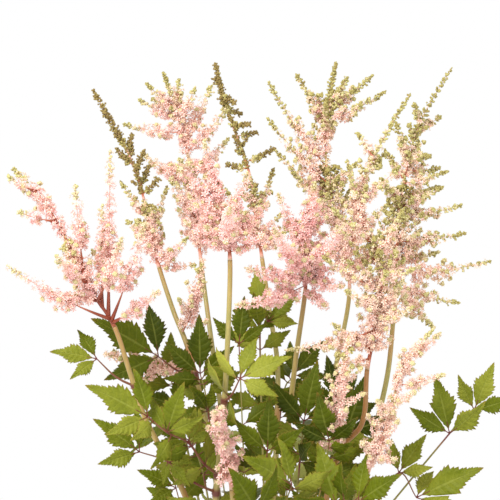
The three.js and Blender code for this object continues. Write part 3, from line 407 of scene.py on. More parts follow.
SHOOTS = [
    {
        "name": "a",
        "points": [
            [-34, -8, 128], [-54, -9, 205], [-75, -10, 270], [-95, -12, 310], [-117, -14, 353],
            [-131, -16, 395], [-147, -19, 442], [-168, -20, 474], [-188, -17, 513], [-208, -13, 551],
            [-228, -8, 579], [-249, -4, 600],
        ],
        "bloom": 6,
        "reach": 7,
        "sprays": [
            [0.04, -254, -36, 502], [0.06, -152, -8, 618], [0.3, -187, -32, 583], [0.26, -206, -48, 512],
            [0.03, -116, -30, 546], [0.02, -102, -34, 478], [0.12, -160, 14, 563], [0.16, -140, -52, 530],
        ],
        "fill": 4,
        "fill_length": 60,
    },
    {
        "name": "b",
        "points": [
            [-22, 14, 128], [-38, 19, 230], [-54, 25, 330], [-73, 30, 413], [-89, 34, 456], [-103, 36, 500],
            [-112, 37, 535], [-118, 37, 568], [-130, 36, 606], [-146, 36, 637], [-169, 35, 678],
        ],
        "bloom": 5,
        "buds": 7,
        "reach": 5,
        "sprays": [
            [0.15, -90, 28, 519], [0.05, -74, 22, 531], [0.04, -66, 34, 503], [0.5, -95, 46, 582],
            [0.4, -136, 50, 548], [0.7, -142, 40, 587],
        ],
        "bud_sprays": [
            [0.05, -103, 34, 590], [0.12, -113, 46, 603], [0.25, -118, 30, 618], [0.3, -146, 44, 620],
            [0.45, -130, 44, 634],
        ],
        "fill": 2,
        "fill_length": 45,
    },
    {
        "name": "c",
        "points": [
            [-10, 34, 128], [-24, 39, 230], [-38, 44, 330], [-53, 50, 440], [-61, 52, 505], [-66, 52, 553],
            [-71, 52, 592], [-78, 52, 632], [-88, 52, 666], [-99, 50, 696],
        ],
        "bloom": 4,
        "reach": 6.5,
        "sprays": [
            [0.62, -139, 46, 644], [0.7, -124, 60, 669], [0.76, -116, 46, 685], [0.74, -84, 62, 690],
            [0.7, -67, 44, 680], [0.6, -50, 60, 683], [0.52, -33, 46, 662], [0.4, -33, 62, 630],
            [0.35, -122, 44, 616], [0.42, -112, 64, 606], [0.18, -92, 40, 590], [0.1, -84, 70, 560],
            [0.12, -40, 44, 585],
        ],
        "fill": 4,
        "fill_length": 60,
    },
    {
        "name": "d",
        "points": [
            [8, 24, 128], [12, 31, 230], [15, 37, 330], [16, 41, 400], [8, 43, 455], [0, 42, 510],
            [-6, 40, 552], [-12, 40, 592], [-23, 40, 626], [-34, 40, 655], [-41, 40, 680], [-47, 40, 705],
        ],
        "bloom": 5,
        "buds": 7,
        "reach": 5,
        "sprays": [
            [0.2, 28, 48, 546], [0.1, 24, 30, 536], [0.3, -37, 52, 580], [0.5, 12, 54, 600],
            [0.2, -30, 30, 560],
        ],
        "bud_sprays": [
            [0.05, -36, 42, 604], [0.1, 13, 50, 620], [0.3, -5, 42, 636], [0.4, -12, 32, 644],
            [0.55, -20, 46, 654], [0.7, -27, 36, 665],
        ],
        "fill": 2,
        "fill_length": 45,
    },
    {
        "name": "e",
        "points": [
            [-46, -24, 128], [-47, -28, 200], [-46, -32, 270], [-38, -36, 360], [-34, -37, 430],
            [-32, -37, 508], [-38, -38, 545], [-48, -37, 585], [-58, -34, 628],
        ],
        "bloom": 5,
        "reach": 7,
        "sprays": [
            [0.05, -78, -46, 548], [0.12, -74, -28, 574], [0.05, 2, -46, 534], [0.15, 6, -34, 566],
            [0.3, -14, -48, 596], [0.42, -86, -42, 604], [0.2, -32, -80, 560],
        ],
        "fill": 4,
        "fill_length": 52,
    },
    {
        "name": "f",
        "points": [
            [10, -6, 128], [17, -8, 230], [24, -10, 320], [33, -12, 405], [43, -15, 476], [43, -22, 508],
            [46, -28, 545], [53, -30, 586],
        ],
        "bloom": 4,
        "reach": 7,
        "sprays": [
            [0.05, -26, -54, 464], [0.12, -16, -46, 500], [0.25, 82, -50, 543], [0.2, 12, -60, 540],
            [0.1, 82, -32, 482], [0.03, 64, -26, 462], [0.4, 16, -30, 575],
        ],
        "fill": 4,
        "fill_length": 52,
    },
    {
        "name": "g",
        "points": [
            [34, 28, 128], [47, 31, 230], [60, 34, 320], [75, 35, 400], [88, 32, 478], [78, 29, 538],
            [67, 27, 588], [63, 26, 634], [68, 24, 672], [74, 22, 706],
        ],
        "bloom": 4,
        "reach": 6,
        "sprays": [
            [0.72, 111, 30, 693], [0.66, 124, 18, 677], [0.68, 34, 22, 694], [0.74, 86, 40, 692],
            [0.66, 46, 42, 672], [0.45, 6, 30, 686], [0.38, 5, 18, 650], [0.3, 13, 40, 618],
            [0.22, 28, 14, 600], [0.15, 128, 40, 566], [0.1, 22, 46, 540], [0.05, 112, 50, 522],
        ],
        "fill": 4,
        "fill_length": 60,
    },
    {
        "name": "h",
        "points": [
            [56, 8, 128], [78, 9, 205], [98, 10, 282], [113, 11, 335], [126, 12, 392], [131, 12, 440],
            [133, 12, 478], [135, 12, 522], [139, 12, 568], [147, 12, 608], [160, 12, 650], [190, 10, 700],
        ],
        "bloom": 6,
        "reach": 5.5,
        "sprays": [
            [0.75, 179, 18, 652], [0.62, 168, 0, 612], [0.55, 178, 24, 600], [0.48, 186, 6, 597],
            [0.42, 178, 26, 582], [0.33, 200, 14, 563], [0.22, 204, 4, 535], [0.14, 177, 22, 516],
            [0.08, 229, 10, 507], [0.02, 198, 0, 465], [0.6, 134, 0, 646], [0.5, 123, 24, 618],
            [0.4, 118, 0, 590], [0.03, 172, -16, 440],
        ],
        "fill": 4,
        "fill_length": 60,
    },
    {
        "name": "k",
        "points": [
            [36, -22, 128], [52, -24, 220], [75, -25, 314], [99, -27, 348], [104, -28, 400], [113, -28, 440],
            [118, -28, 475], [117, -28, 508], [104, -28, 537], [94, -26, 566], [108, -24, 603],
            [126, -22, 638], [148, -20, 674],
        ],
        "bloom": 4,
        "reach": 5.5,
        "sprays": [
            [0.06, 70, -36, 445], [0.03, 81, -42, 407], [0.12, 23, -38, 418], [0.2, 83, -46, 478],
            [0.26, 60, -40, 512], [0.15, 150, -44, 462], [0.3, 152, -44, 500], [0.5, 85, -34, 608],
            [0.55, 81, -18, 634], [0.4, 142, -34, 560], [0.62, 138, -34, 602], [0.45, 70, -44, 560],
        ],
        "fill": 4,
        "fill_length": 55,
    },
    {
        "name": "j",
        "points": [
            [58, -22, 128], [72, -27, 200], [88, -35, 255], [103, -40, 300], [116, -42, 330],
            [126, -42, 362], [135, -41, 392], [148, -40, 418], [170, -38, 440],
        ],
        "bloom": 3,
        "reach": 5,
        "sprays": [
            [0.55, 179, -46, 396], [0.75, 177, -28, 436], [0.1, 130, -52, 314], [0.15, 96, -50, 330],
            [0.35, 112, -54, 372], [0.45, 150, -56, 380],
        ],
        "fill": 2,
        "fill_length": 32,
    },
    {
        "name": "l",
        "points": [
            [-16, -44, 128], [-22, -44, 210], [-30, -47, 285], [-36, -52, 330], [-42, -62, 352],
            [-46, -72, 362],
        ],
        "bloom": 2,
        "reach": 5.5,
        "sprays": [[0.2, -20, -54, 284], [0.1, -44, -58, 292]],
        "fill": 5,
        "fill_length": 26,
    },
]

# A side shoot grows from its host's stalk.
SIDE_SHOOTS = [
    {
        "name": "m",
        "host": "b",
        "points": [[-70, 29, 400], [-104, 22, 398], [-132, 20, 406], [-158, 18, 414]],
        "reach": 5,
        "sprays": [],
    },
    {
        "name": "n",
        "host": "b",
        "points": [[-81, 32, 434], [-70, 24, 456], [-64, 20, 480], [-59, 20, 508]],
        "reach": 4.5,
        "sprays": [[0.3, -84, 12, 470]],
    },
    {
        "name": "p",
        "host": "k",
        "points": [[75, -25, 314], [76, -42, 356], [80, -46, 396], [86, -46, 434]],
        "reach": 4,
        "sprays": [],
    },
]

FRONT = (0, -1, 0.45)  # the way that the chosen leaves face

# A leaf grows on a shoot's stalk, from a height, or from a place on the soil. A hub is its place and the tip
# of its middle leaflet.
LEAVES = [
    {"on": "a", "from": 384, "hubs": [[-164, -22, 410, -211, -26, 419]]},
    {"on": "b", "from": 388, "hubs": [[-104, 12, 411, -168, 4, 450]]},
    {
        "on": "e", "from": 300,
        "hubs": [
            [-72, -50, 330, -70, -54, 362], [-93, -58, 341, -84, -62, 388], [-111, -60, 356, -167, -66, 386],
        ],
   },
    {"on": "e", "from": 282, "hubs": [[-92, -50, 312, -70, -60, 290], [-120, -46, 321, -164, -50, 354]]},
    {"from": [-30, 2], "hubs": [[-54, 8, 356, -84, 6, 386], [-62, 8, 394, -63, 2, 455]]},
    {"from": [-12, 12], "hubs": [[-23, 4, 424, -18, 0, 470]]},
    {"from": [4, 8], "hubs": [[-2, 22, 438, -6, 20, 484], [6, 20, 446, 36, 16, 476]]},
    {"on": "e", "from": 372, "hubs": [[-22, -50, 392, 30, -54, 416]]},
    {"from": [-8, -28], "hubs": [[5, -48, 322, 7, -56, 376]]},
    {"from": [24, -26], "hubs": [[37, -32, 310, 72, -44, 336], [41, -36, 350, 54, -40, 408]]},
    {
        "from": [44, 22],
        "hubs": [[70, 14, 300, 116, 4, 318], [84, 8, 334, 104, 2, 392], [76, 16, 364, 66, 14, 410]],
   },
    {"from": [10, -46], "hubs": [[20, -62, 262, 52, -80, 294], [28, -70, 292, -18, -84, 322]]},
    {"from": [62, -6], "hubs": [[186, -16, 336, 179, -22, 399], [211, -12, 359, 230, -16, 405]]},
    {"on": "j", "from": 236, "hubs": [[135, -24, 298, 161, -28, 336], [152, -26, 274, 209, -34, 311]]},
    {"from": [46, -44], "hubs": [[72, -62, 268, 58, -74, 322], [92, -70, 276, 134, -80, 306]]},
    {"from": [-4, -58], "hubs": [[-6, -88, 270, -30, -104, 312]]},
    {"from": [-56, 0], "hubs": [[-86, 0, 280, -124, -6, 300]]},
    {"from": [-36, -16], "hubs": [[-58, -24, 296, -32, -28, 336], [-72, -26, 330, -110, -30, 352]]},
    {"from": [28, -40], "hubs": [[60, -46, 292, 96, -50, 318], [66, -48, 330, 60, -52, 380]]},
    {"from": [4, 36], "hubs": [[20, 40, 358, 6, 38, 408], [32, 44, 390, 62, 44, 426]]},
    {"from": [-44, 26], "hubs": [[-84, 34, 356, -122, 38, 388], [-92, 36, 386, -92, 34, 436]]},
]

RING_TRIES = 8
RING_STEP = 6  # degrees further round at each try
RING_HEIGHTS = (-14, 18)  # drawn, beside the ring's own
RING_RISES = (-0.15, 0.35)  # how far a leaf's tip rises or falls, as a share of its length
RING_LENGTH_SHARE = 0.9  # of a leaf's length that lies flat
RING_FACE = 0.8  # how far a leaf faces outwards, beside how far it faces up
# Leaves round the clump: how many, the bearing of the first and the span to the next, in degrees, how far out
# and how high a hub is, how long a leaf is, and how far out it stands in the soil.
LEAF_RINGS = [
    {"count": 4, "bearing": 20, "span": 46, "distance": 92, "height": 330, "length": 74, "root": 46},
    {"count": 6, "bearing": -20, "span": 60, "distance": 106, "height": 246, "length": 70, "root": 54},
]

# ---- Growing it ----


class Dice:
    """One seeded stream of numbers, the same on every run."""

    def __init__(self, seed):
        self.state = seed

    def draw(self, low, high):
        self.state = (self.state * 1664525 + 1013904223) % 2**32
        return low + (high - low) * self.state / 2**32


dice = Dice(SEED)


def vec(*parts):
    return np.array(parts, float)


def length_of(v):
    return float(np.sqrt(v @ v))


def unit(v):
    return v / length_of(v)


def square_to(v, d):
    """The part of v that is square to the unit vector d, at length 1."""
    flat = v - d * (v @ d)
    if length_of(flat) < 1e-3:
        return square_to(vec(1, 0, 0) if abs(d[0]) < 0.7 else vec(0, 1, 0), d)
    return unit(flat)


def turned(v, axis, angle):
    """v turned about a unit axis."""
    swung = v * np.cos(angle) + np.cross(axis, v) * np.sin(angle)
    return swung + axis * (axis @ v) * (1 - np.cos(angle))


def place(point):
    """A point of the layout in its place: higher up, a shoot leans further, and what leans back opens out."""
    x, y, z = point
    rise = min(max((z - SOIL_TOP) / (HEART[2] - SOIL_TOP), 0), 1)
    depth = y * (1 + LEAN * rise)
    wider = 1 + rise * OPENING * depth
    return vec(HEART[0] + (x - HEART[0]) * wider, depth, HEART[2] + (z - HEART[2]) * wider)


class Bend:
    """A smooth curve through points. at() takes a share of it, from 0 to 1, or an array of them."""

    def __init__(self, points):
        first = 2 * points[0] - points[1]
        last = 2 * points[-1] - points[-2]
        self.knots = np.array([first, *points, last])
        self.spans = len(points) - 1

    def at(self, t):
        u = np.asarray(t, float) * self.spans
        i = np.clip(np.floor(u).astype(int), 0, self.spans - 1)
        w = (u - i)[..., None]
        before, start, end, after = (self.knots[i + k] for k in range(4))
        leave, arrive = (end - before) / 2, (after - start) / 2
        square = 3 * (end - start) - 2 * leave - arrive
        cube = 2 * (start - end) + leave + arrive
        return start + w * (leave + w * (square + w * cube))

    def heading(self, t):
        step = 1e-4
        return unit(self.at(min(t + step, 1)) - self.at(max(t - step, 0)))

    def length(self):
        points = self.at(np.linspace(0, 1, 201))
        return float(np.linalg.norm(np.diff(points, axis=0), axis=1).sum())


class Bow(Bend):
    """A spray's curve, which hangs a little between its root and its tip."""

    def __init__(self, root, tip):
        self.root, self.tip = root, tip
        self.middle = (root + tip) / 2 - vec(0, 0, length_of(tip - root) * SPRAY_SAG)

    def at(self, t):
        t = np.asarray(t, float)[..., None]
        return (1 - t) ** 2 * self.root + 2 * (1 - t) * t * self.middle + t**2 * self.tip


class Thicket:
    """The space that is taken, as balls with an owner each."""

    def __init__(self):
        self.points, self.radii, self.owners = np.empty((0, 3)), np.empty(0), np.empty(0, int)
        self.names = []

    def number(self, owner):
        if owner not in self.names:
            self.names.append(owner)
        return self.names.index(owner)

    def take(self, balls, owner):
        self.points = np.vstack([self.points, balls[:, :3]])
        self.radii = np.append(self.radii, balls[:, 3])
        self.owners = np.append(self.owners, np.full(len(balls), self.number(owner)))

    def is_free(self, balls, owner=None, kin=()):
        """Whether balls are clear. Their owner's own may come nearer, and those of their kin don't count."""
        if not len(balls):
            return True
        low, high = balls[:, :3].min(0) - BALL_REACH, balls[:, :3].max(0) + BALL_REACH
        near = ((self.points > low) & (self.points < high)).all(1)
        near &= ~np.isin(self.owners, [self.number(name) for name in kin])
        share = np.where(self.owners[near] == self.number(owner), OWN_SHARE, 1)[:, None]
        apart = np.linalg.norm(self.points[near][:, None] - balls[None, :, :3], axis=2)
        return bool((apart >= (self.radii[near][:, None] + balls[:, 3]) * share).all())


thicket = Thicket()


def balls_along(bend, length, radius_at, start=0, end=1):
    """Balls along a stretch of a curve, as rows of place and radius, and how far along each lies."""
    along = np.linspace(0, 1, max(3, int(np.ceil(length / BALL_PITCH))) + 1)
    return np.column_stack([bend.at(start + (end - start) * along), [radius_at(s) for s in along]]), along


def spread_at(s, reach):
    """A spray's radius over its florets, from its foot to its tip."""
    return TWIG_RADIUS if s < BARE_SHARE else reach * (1 - SPRAY_TAPER * s * s)


# What has grown, by node. A stalk, a rachis and a petiole is (curve, from, to, radius by share of the curve),
# a spray (curve, length, reach, from, place up the panicle), a leaflet a dict, and a joint the share of a
# stalk's curve where a leaf stands.
stalks, rachises, sprays, petioles, leaflets, joints = {}, {}, {}, {}, {}, {}


def grown(table, node, thing):
    table.setdefault(node, []).append(thing)


class Shoot:
    """A flowering stem: its stalk, its open panicle and, on some, the buds above it."""

    def __init__(self, plan):
        self.plan, self.name = plan, plan["name"]
        last = len(plan["points"]) - 1
        self.bend = Bend([place(p) for p in plan["points"]])
        self.length = self.bend.length()
        self.blooms_at = plan.get("bloom", last) / last
        self.buds_at = plan["buds"] / last if "buds" in plan else 1
        self.nodes = [f"stalk_{self.name}", f"plume_{self.name}", f"buds_{self.name}"]

    def radius(self, t):
        if t <= self.blooms_at:
            return STALK_RADIUS + (STALK_TOP_RADIUS - STALK_RADIUS) * t / self.blooms_at
        above = t - self.blooms_at
        return STALK_TOP_RADIUS + (RACHIS_TIP_RADIUS - STALK_TOP_RADIUS) * above / (1 - self.blooms_at)

    def stretch(self, part):
        """The node of the stalk, the panicle or the buds, and where it starts and ends on the curve."""
        ends = [0, self.blooms_at, self.buds_at, 1]
        return self.nodes[part], ends[part], ends[part + 1]

    def end(self):
        return self.stretch(2 if self.buds_at < 1 else 1)

    def spike_start(self):
        return 1 - SPIKE_SHARE * (1 - self.end()[1])

    def add_stem(self, part):
        node, start, stop = self.stretch(part)
        step = 0.001
        reach = length_of(self.bend.at(stop) - self.bend.at(stop - step))
        end = self.spike_start() + SINK if stop == 1 else stop - GAP * step / reach
        length = self.length * (end - start)
        balls, _ = balls_along(
            self.bend, length, lambda s: self.radius(start + (end - start) * s) + STEM_MARGIN, start, end
        )
        thicket.take(balls, node)
        grown(rachises if part else stalks, node, (self.bend, start, end, self.radius))

    def add_top_spike(self):
        node = self.end()[0]
        start = self.spike_start()
        length = self.length * (1 - start)
        reach = BUD_REACH if self.buds_at < 1 else self.plan["reach"] * FILL_REACH
        balls, _ = balls_along(self.bend, length, lambda s: spread_at(s, reach) + FLORET_MARGIN, start)
        thicket.take(balls, node)
        grown(sprays, node, (self.bend, length, reach, start, 1))

    def add_spray(self, stretch, share, tip, reach):
        """One spray. It shifts in depth until it is clear, and then it shortens."""
        node, start, stop = stretch
        root = self.bend.at(start + (stop - start) * share)
        for shrink in SPRAY_SHRINKS:
            for shift in SPRAY_SHIFTS:
                end = root + (tip + vec(0, shift, 0) - root) * shrink
                bow, length = Bow(root, end), length_of(end - root)
                balls, along = balls_along(bow, length, lambda s: spread_at(s, reach) + FLORET_MARGIN)
                near = along * length < ROOT_REACH
                if thicket.is_free(balls[near], node, self.nodes) and thicket.is_free(balls[~near], node):
                    thicket.take(balls, node)
                    grown(sprays, node, (bow, length, reach, 0, share))
                    return True
        return False

    def add_chosen_sprays(self):
        for share, *tip in self.plan["sprays"]:
            self.add_spray(self.stretch(1), share, place(tip), self.plan["reach"])
        for share, *tip in self.plan.get("bud_sprays", []):
            self.add_spray(self.stretch(2), share, place(tip), BUD_REACH)

    def fill(self, stretch, count, longest, reach, rule=RULE):
        """The remaining sprays of a stretch, which wind round it and get shorter on the way up."""
        for i in range(count):
            share = rule["first"] + rule["span"] * (i + 0.5) / count
            t = stretch[1] + (stretch[2] - stretch[1]) * share
            root, heading = self.bend.at(t), self.bend.heading(t)
            first = dice.draw(0, 2 * np.pi) + i * GOLDEN_ANGLE
            for tries in range(rule["turns"]):
                turn = first + 2 * np.pi * tries / rule["turns"]
                length = longest * (1 - rule["taper"] * share) * dice.draw(*FILL_LENGTHS)
                side = square_to(vec(np.cos(turn), np.sin(turn), 0), heading)
                tip = root + side * length * rule["out"] + heading * length * rule["on"]
                if self.add_spray(stretch, share, tip, reach):
                    break

    def add_rule_sprays(self):
        reach = self.plan["reach"] * FILL_REACH
        self.fill(self.stretch(1), self.plan["fill"], self.plan["fill_length"], reach)
        if self.buds_at < 1:
            self.fill(self.stretch(2), BUD_FILL, BUD_LENGTH, BUD_REACH, BUD_RULE)

    def share_at_height(self, height):
        """The share of its curve at which its stalk reaches a height, found by halving."""
        low, high = 0, self.blooms_at
        for _ in range(24):
            middle = (low + high) / 2
            low, high = (middle, high) if self.bend.at(middle)[2] < height else (low, middle)
        return low


def add_side_shoot(plan):
    shoot = Shoot(plan)
    node, reach = f"plume_{plan['name']}", plan["reach"]
    grown(rachises, node, (shoot.bend, 0, 1, lambda t: SIDE_RADIUS + (TWIG_RADIUS - SIDE_RADIUS) * t))
    grown(sprays, node, (shoot.bend, shoot.length * (1 - SIDE_BARE), reach, SIDE_BARE, 0.5))
    balls, _ = balls_along(
        shoot.bend,
        shoot.length,
        lambda s: STALK_TOP_RADIUS if s < SIDE_BARE else spread_at(s, reach) + FLORET_MARGIN,
    )
    thicket.take(balls, node)
    for share, *tip in plan["sprays"]:
        shoot.add_spray((node, 0, 1), share, place(tip), reach)


def blade_half_width(s, length):
    return length * BLADE_WIDTH_SHARE / 2 * np.sin(np.pi * s**BLADE_BELLY)


def blade_point(leaflet, s, across, above=0):
    """Points of a leaflet's sheet: the tip nods, and the halves rise from the midrib."""
    hub, ahead, length = leaflet["hub"], leaflet["direction"], leaflet["length"]
    up = square_to(leaflet["face"], ahead)
    s, across, above = (np.asarray(value, float)[..., None] for value in (s, across, above))
    rise = length * (BLADE_LIFT * s - BLADE_NOD * s * s) + BLADE_FOLD * np.abs(across) + above
    return hub + ahead * s * length + np.cross(ahead, up) * across + up * rise


def blade_balls(leaflet):
    """Balls over a leaflet's sheet, five to a row."""
    steps = int(np.ceil(leaflet["length"] / BALL_PITCH))
    s = np.repeat(np.arange(2, steps + 1) / steps, 5)
    shares = np.tile([-1, -0.5, 0, 0.5, 1], steps - 1)
    across = shares * np.maximum(0, blade_half_width(s, leaflet["length"]) - BLADE_BALL / 2)
    return np.column_stack([blade_point(leaflet, s, across), np.full(len(s), BLADE_BALL)])


def find_leaflet(hub, wanted, normal, size):
    """Where a leaflet has room: it nods or swings until it is clear, and then it shortens."""
    hinge = unit(np.cross(wanted, normal))
    for shrink in LEAFLET_SHRINKS:
        for nod in LEAFLET_NODS:
            for swing in LEAFLET_SWINGS:
                direction = turned(turned(wanted, hinge, nod), normal, swing)
                face = turned(normal, hinge, nod)
                leaflet = {"hub": hub, "direction": direction, "face": face, "length": size * shrink}
                if thicket.is_free(blade_balls(leaflet)):
                    return leaflet
    return None


def add_leaflets(node, hub, tip, face):
    """The leaflets at a hub: one at each side and one in the middle, with a wall between neighbours."""
    middle = unit(tip - hub)
    normal = square_to(face, middle)
    found = []
    for way, share in ((1, SIDE_LENGTH), (0, 1), (-1, SIDE_LENGTH)):
        wanted = turned(middle, normal, way * SIDE_TURN * dice.draw(*LEAFLET_TURNS))
        size = length_of(tip - hub) * share * dice.draw(*LEAFLET_LENGTHS)
        found.append(find_leaflet(hub, wanted, normal, size))
    placed = [leaflet for leaflet in found if leaflet]
    for leaflet in placed:
        leaflet["walls"] = []
        thicket.take(blade_balls(leaflet), node)
        grown(leaflets, node, leaflet)
    for left, right in zip(placed, placed[1:]):
        facing = unit(np.cross(left["direction"] + right["direction"], normal))
        left["walls"].append(-facing)
        right["walls"].append(facing)


def petiole_bend(root, hub, host):
    """Where a petiole from the soil turns up, or where one from a stalk sags."""
    if host:
        return (root + hub) / 2 - vec(0, 0, PETIOLE_SAG)
    return vec(root[0] * PETIOLE_SPLAY, root[1] * PETIOLE_SPLAY, SOIL_TOP + PETIOLE_RISE)


def add_leaf(plan, face):
    """A compound leaf, on a shoot's stalk or from the soil. It shifts in depth until its petiole is clear."""
    node = f"leaf_{len(petioles) + 1:02d}"
    host = shoots.get(plan.get("on"))
    share = host and host.share_at_height(plan["from"])
    root = host.bend.at(share) if host else vec(*plan["from"], SOIL_TOP - ROOT_DEPTH)
    for shift in LEAF_SHIFTS:
        hubs = [place(ends[:3]) + vec(0, shift, 0) for ends in plan["hubs"]]
        tips = [place(ends[3:]) + vec(0, shift, 0) for ends in plan["hubs"]]
        bend = Bend([root, petiole_bend(root, hubs[0], host), *hubs])
        length = bend.length()
        balls, along = balls_along(bend, length, lambda s: PETIOLE_BALL)
        counted = balls if not host else balls[along * length > ROOT_REACH]
        if not thicket.is_free(counted, node):
            continue
        thicket.take(balls, node)
        grown(petioles, node, (bend, 0, 1, lambda t: PETIOLE_RADIUS * (1 - PETIOLE_TAPER * t)))
        if host:
            grown(joints, host.nodes[0], share)
        for hub, tip in zip(hubs, tips):
            add_leaflets(node, hub, tip, face)
        return True
    return False


def add_ring_leaf(ring, bearing):
    """A leaf that leans out on its bearing. It goes round the clump a little until it is clear."""
    for tries in range(RING_TRIES):
        turn = np.radians(bearing + tries * RING_STEP + dice.draw(-RING_STEP, RING_STEP))
        outward = vec(np.cos(turn), np.sin(turn), 0)
        hub = outward * ring["distance"] + vec(0, 0, ring["height"] + dice.draw(*RING_HEIGHTS))
        tip = hub + outward * ring["length"] * RING_LENGTH_SHARE
        tip[2] += ring["length"] * dice.draw(*RING_RISES)
        root = outward * ring["root"]
        if add_leaf({"from": root[:2], "hubs": [[*hub, *tip]]}, vec(*outward[:2] * RING_FACE, 1)):
            return


shoots = {}
for plan in SHOOTS:
    shoot = shoots[plan["name"]] = Shoot(plan)
    for part in range(3 if "buds" in plan else 2):
        shoot.add_stem(part)
for shoot in shoots.values():
    shoot.add_top_spike()
for shoot in shoots.values():
    shoot.add_chosen_sprays()
for plan in SIDE_SHOOTS:
    add_side_shoot(plan)
for plan in LEAVES:
    add_leaf(plan, vec(*FRONT))
for shoot in shoots.values():
    shoot.add_rule_sprays()
for ring in LEAF_RINGS:
    for i in range(ring["count"]):
        add_ring_leaf(ring, ring["bearing"] + ring["span"] * i)


# ---- Finishes ----


class Finish:
    """A Principled material, with the few nodes that its pattern needs."""

    def __init__(self, name, roughness, **values):
        self.material = bpy.data.materials.new(name)
        self.material.use_nodes = True
        self.tree = self.material.node_tree
        self.shader = self.tree.nodes["Principled BSDF"]
        self.set("Roughness", roughness)
        for socket, value in values.items():
            self.set(socket.replace("_", " "), value)

    def set(self, socket, value):
        self.shader.inputs[socket].default_value = value

    def join(self, value, socket):
        """Puts a node's output, or a plain value, in a socket."""
        if isinstance(value, bpy.types.NodeSocket):
            self.tree.links.new(value, socket)
        else:
            socket.default_value = value

    def attribute(self, name):
        node = self.tree.nodes.new("ShaderNodeAttribute")
        node.attribute_name = name
        return node.outputs["Fac"]

    def place(self, scale=(1, 1, 1)):
        """Object coordinates, squeezed along each axis."""
        place = self.tree.nodes.new("ShaderNodeTexCoord").outputs["Object"]
        node = self.tree.nodes.new("ShaderNodeMapping")
        node.inputs["Scale"].default_value = scale
        self.join(place, node.inputs["Vector"])
        return node.outputs["Vector"]

    def noise(self, scale, detail=2.0, squeeze=(1, 1, 1)):
        node = self.tree.nodes.new("ShaderNodeTexNoise")
        node.inputs["Scale"].default_value = scale
        node.inputs["Detail"].default_value = detail
        self.join(self.place(squeeze), node.inputs["Vector"])
        return node.outputs["Fac"]

    def math(self, operation, *values, clamp=False):
        node = self.tree.nodes.new("ShaderNodeMath")
        node.operation = operation
        node.use_clamp = clamp
        for value, socket in zip(values, node.inputs):
            self.join(value, socket)
        return node.outputs[0]

    def band(self, value, low, high):
        """0 below low and 1 above high, or the other way round where low is the larger, with a soft step."""
        node = self.tree.nodes.new("ShaderNodeMapRange")
        node.interpolation_type = "SMOOTHSTEP"
        flipped = low > high
        node.inputs["From Min"].default_value = min(low, high)
        node.inputs["From Max"].default_value = max(low, high)
        node.inputs["To Min"].default_value = float(flipped)
        node.inputs["To Max"].default_value = float(not flipped)
        self.join(value, node.inputs["Value"])
        return node.outputs["Result"]

    def ramp(self, value, *stops):
        """A colour for a value, from (place, colour) stops."""
        node = self.tree.nodes.new("ShaderNodeValToRGB")
        elements = node.color_ramp.elements
        while len(elements) < len(stops):
            elements.new(0.5)
        for element, (position, colour) in zip(elements, stops):
            element.position = position
            element.color = (*colour, 1)
        self.join(value, node.inputs["Fac"])
        return node.outputs["Color"]

    def mix(self, share, first, second, blend="MIX"):
        node = self.tree.nodes.new("ShaderNodeMix")
        node.data_type = "RGBA"
        node.blend_type = blend
        self.join(share, node.inputs["Factor"])
        for colour, socket in ((first, node.inputs[6]), (second, node.inputs[7])):
            self.join((*colour, 1) if isinstance(colour, tuple) else colour, socket)
        return node.outputs[2]

    def colour(self, value):
        self.join((*value, 1) if isinstance(value, tuple) else value, self.shader.inputs["Base Color"])

    def rough(self, value):
        self.join(value, self.shader.inputs["Roughness"])

    def bump(self, height, distance):
        """Raises the surface by a height from 0 to 1, in metres at its full height."""
        node = self.tree.nodes.new("ShaderNodeBump")
        node.inputs["Distance"].default_value = distance
        self.join(height, node.inputs["Height"])
        self.join(node.outputs["Normal"], self.shader.inputs["Normal"])


def flower_finish():
    """Petals and buds. age runs from a tight bud at 0 to a full flower at 1, and blush from cream to pink.

    reach is 0 at a flower's heart, 1 at its petals' tips and 2 at its anthers.
    """
    finish = Finish("petal_and_bud", 0.65, Specular_IOR_Level=0.2)
    age, blush, reach = (finish.attribute(name) for name in ("age", "blush", "reach"))
    open_flower = finish.ramp(blush, (0.0, PETAL_CREAM), (0.45, PETAL_PEACH), (1.0, PETAL_PINK))
    heart = finish.mix(finish.band(reach, 0.5, 0.0), open_flower, PETAL_HEART)
    tip = finish.mix(finish.band(reach, 0.75, 1.0), heart, PETAL_TIP)
    young = finish.mix(finish.math("MULTIPLY", finish.band(age, 0.78, 0.54), 0.6), tip, PETAL_YOUNG)
    anther = finish.mix(finish.band(reach, 1.3, 1.9), young, ANTHER)
    bud = finish.ramp(age, (0.0, BUD_DARK), (0.18, BUD_OLIVE), (0.34, BUD_GREEN), (0.5, BUD_CREAM))
    mottled = finish.mix(finish.band(finish.noise(scale=900), 0.35, 0.7), bud, BUD_SHADE, "MULTIPLY")
    finish.colour(finish.mix(finish.band(age, 0.46, 0.54), mottled, anther))
    return finish.material


def twig_finish():
    """Rachises, sprays and the flowers' own stalks. red runs from green-pink at 0 to deep red at 1."""
    finish = Finish("twig", 0.5)
    red = finish.math("ADD", finish.attribute("red"), finish.math("MULTIPLY", finish.noise(scale=300), 0.2))
    finish.colour(finish.ramp(red, (0.0, TWIG_GREEN), (0.35, TWIG_PINK), (0.7, TWIG_RED), (1.0, TWIG_DARK)))
    return finish.material


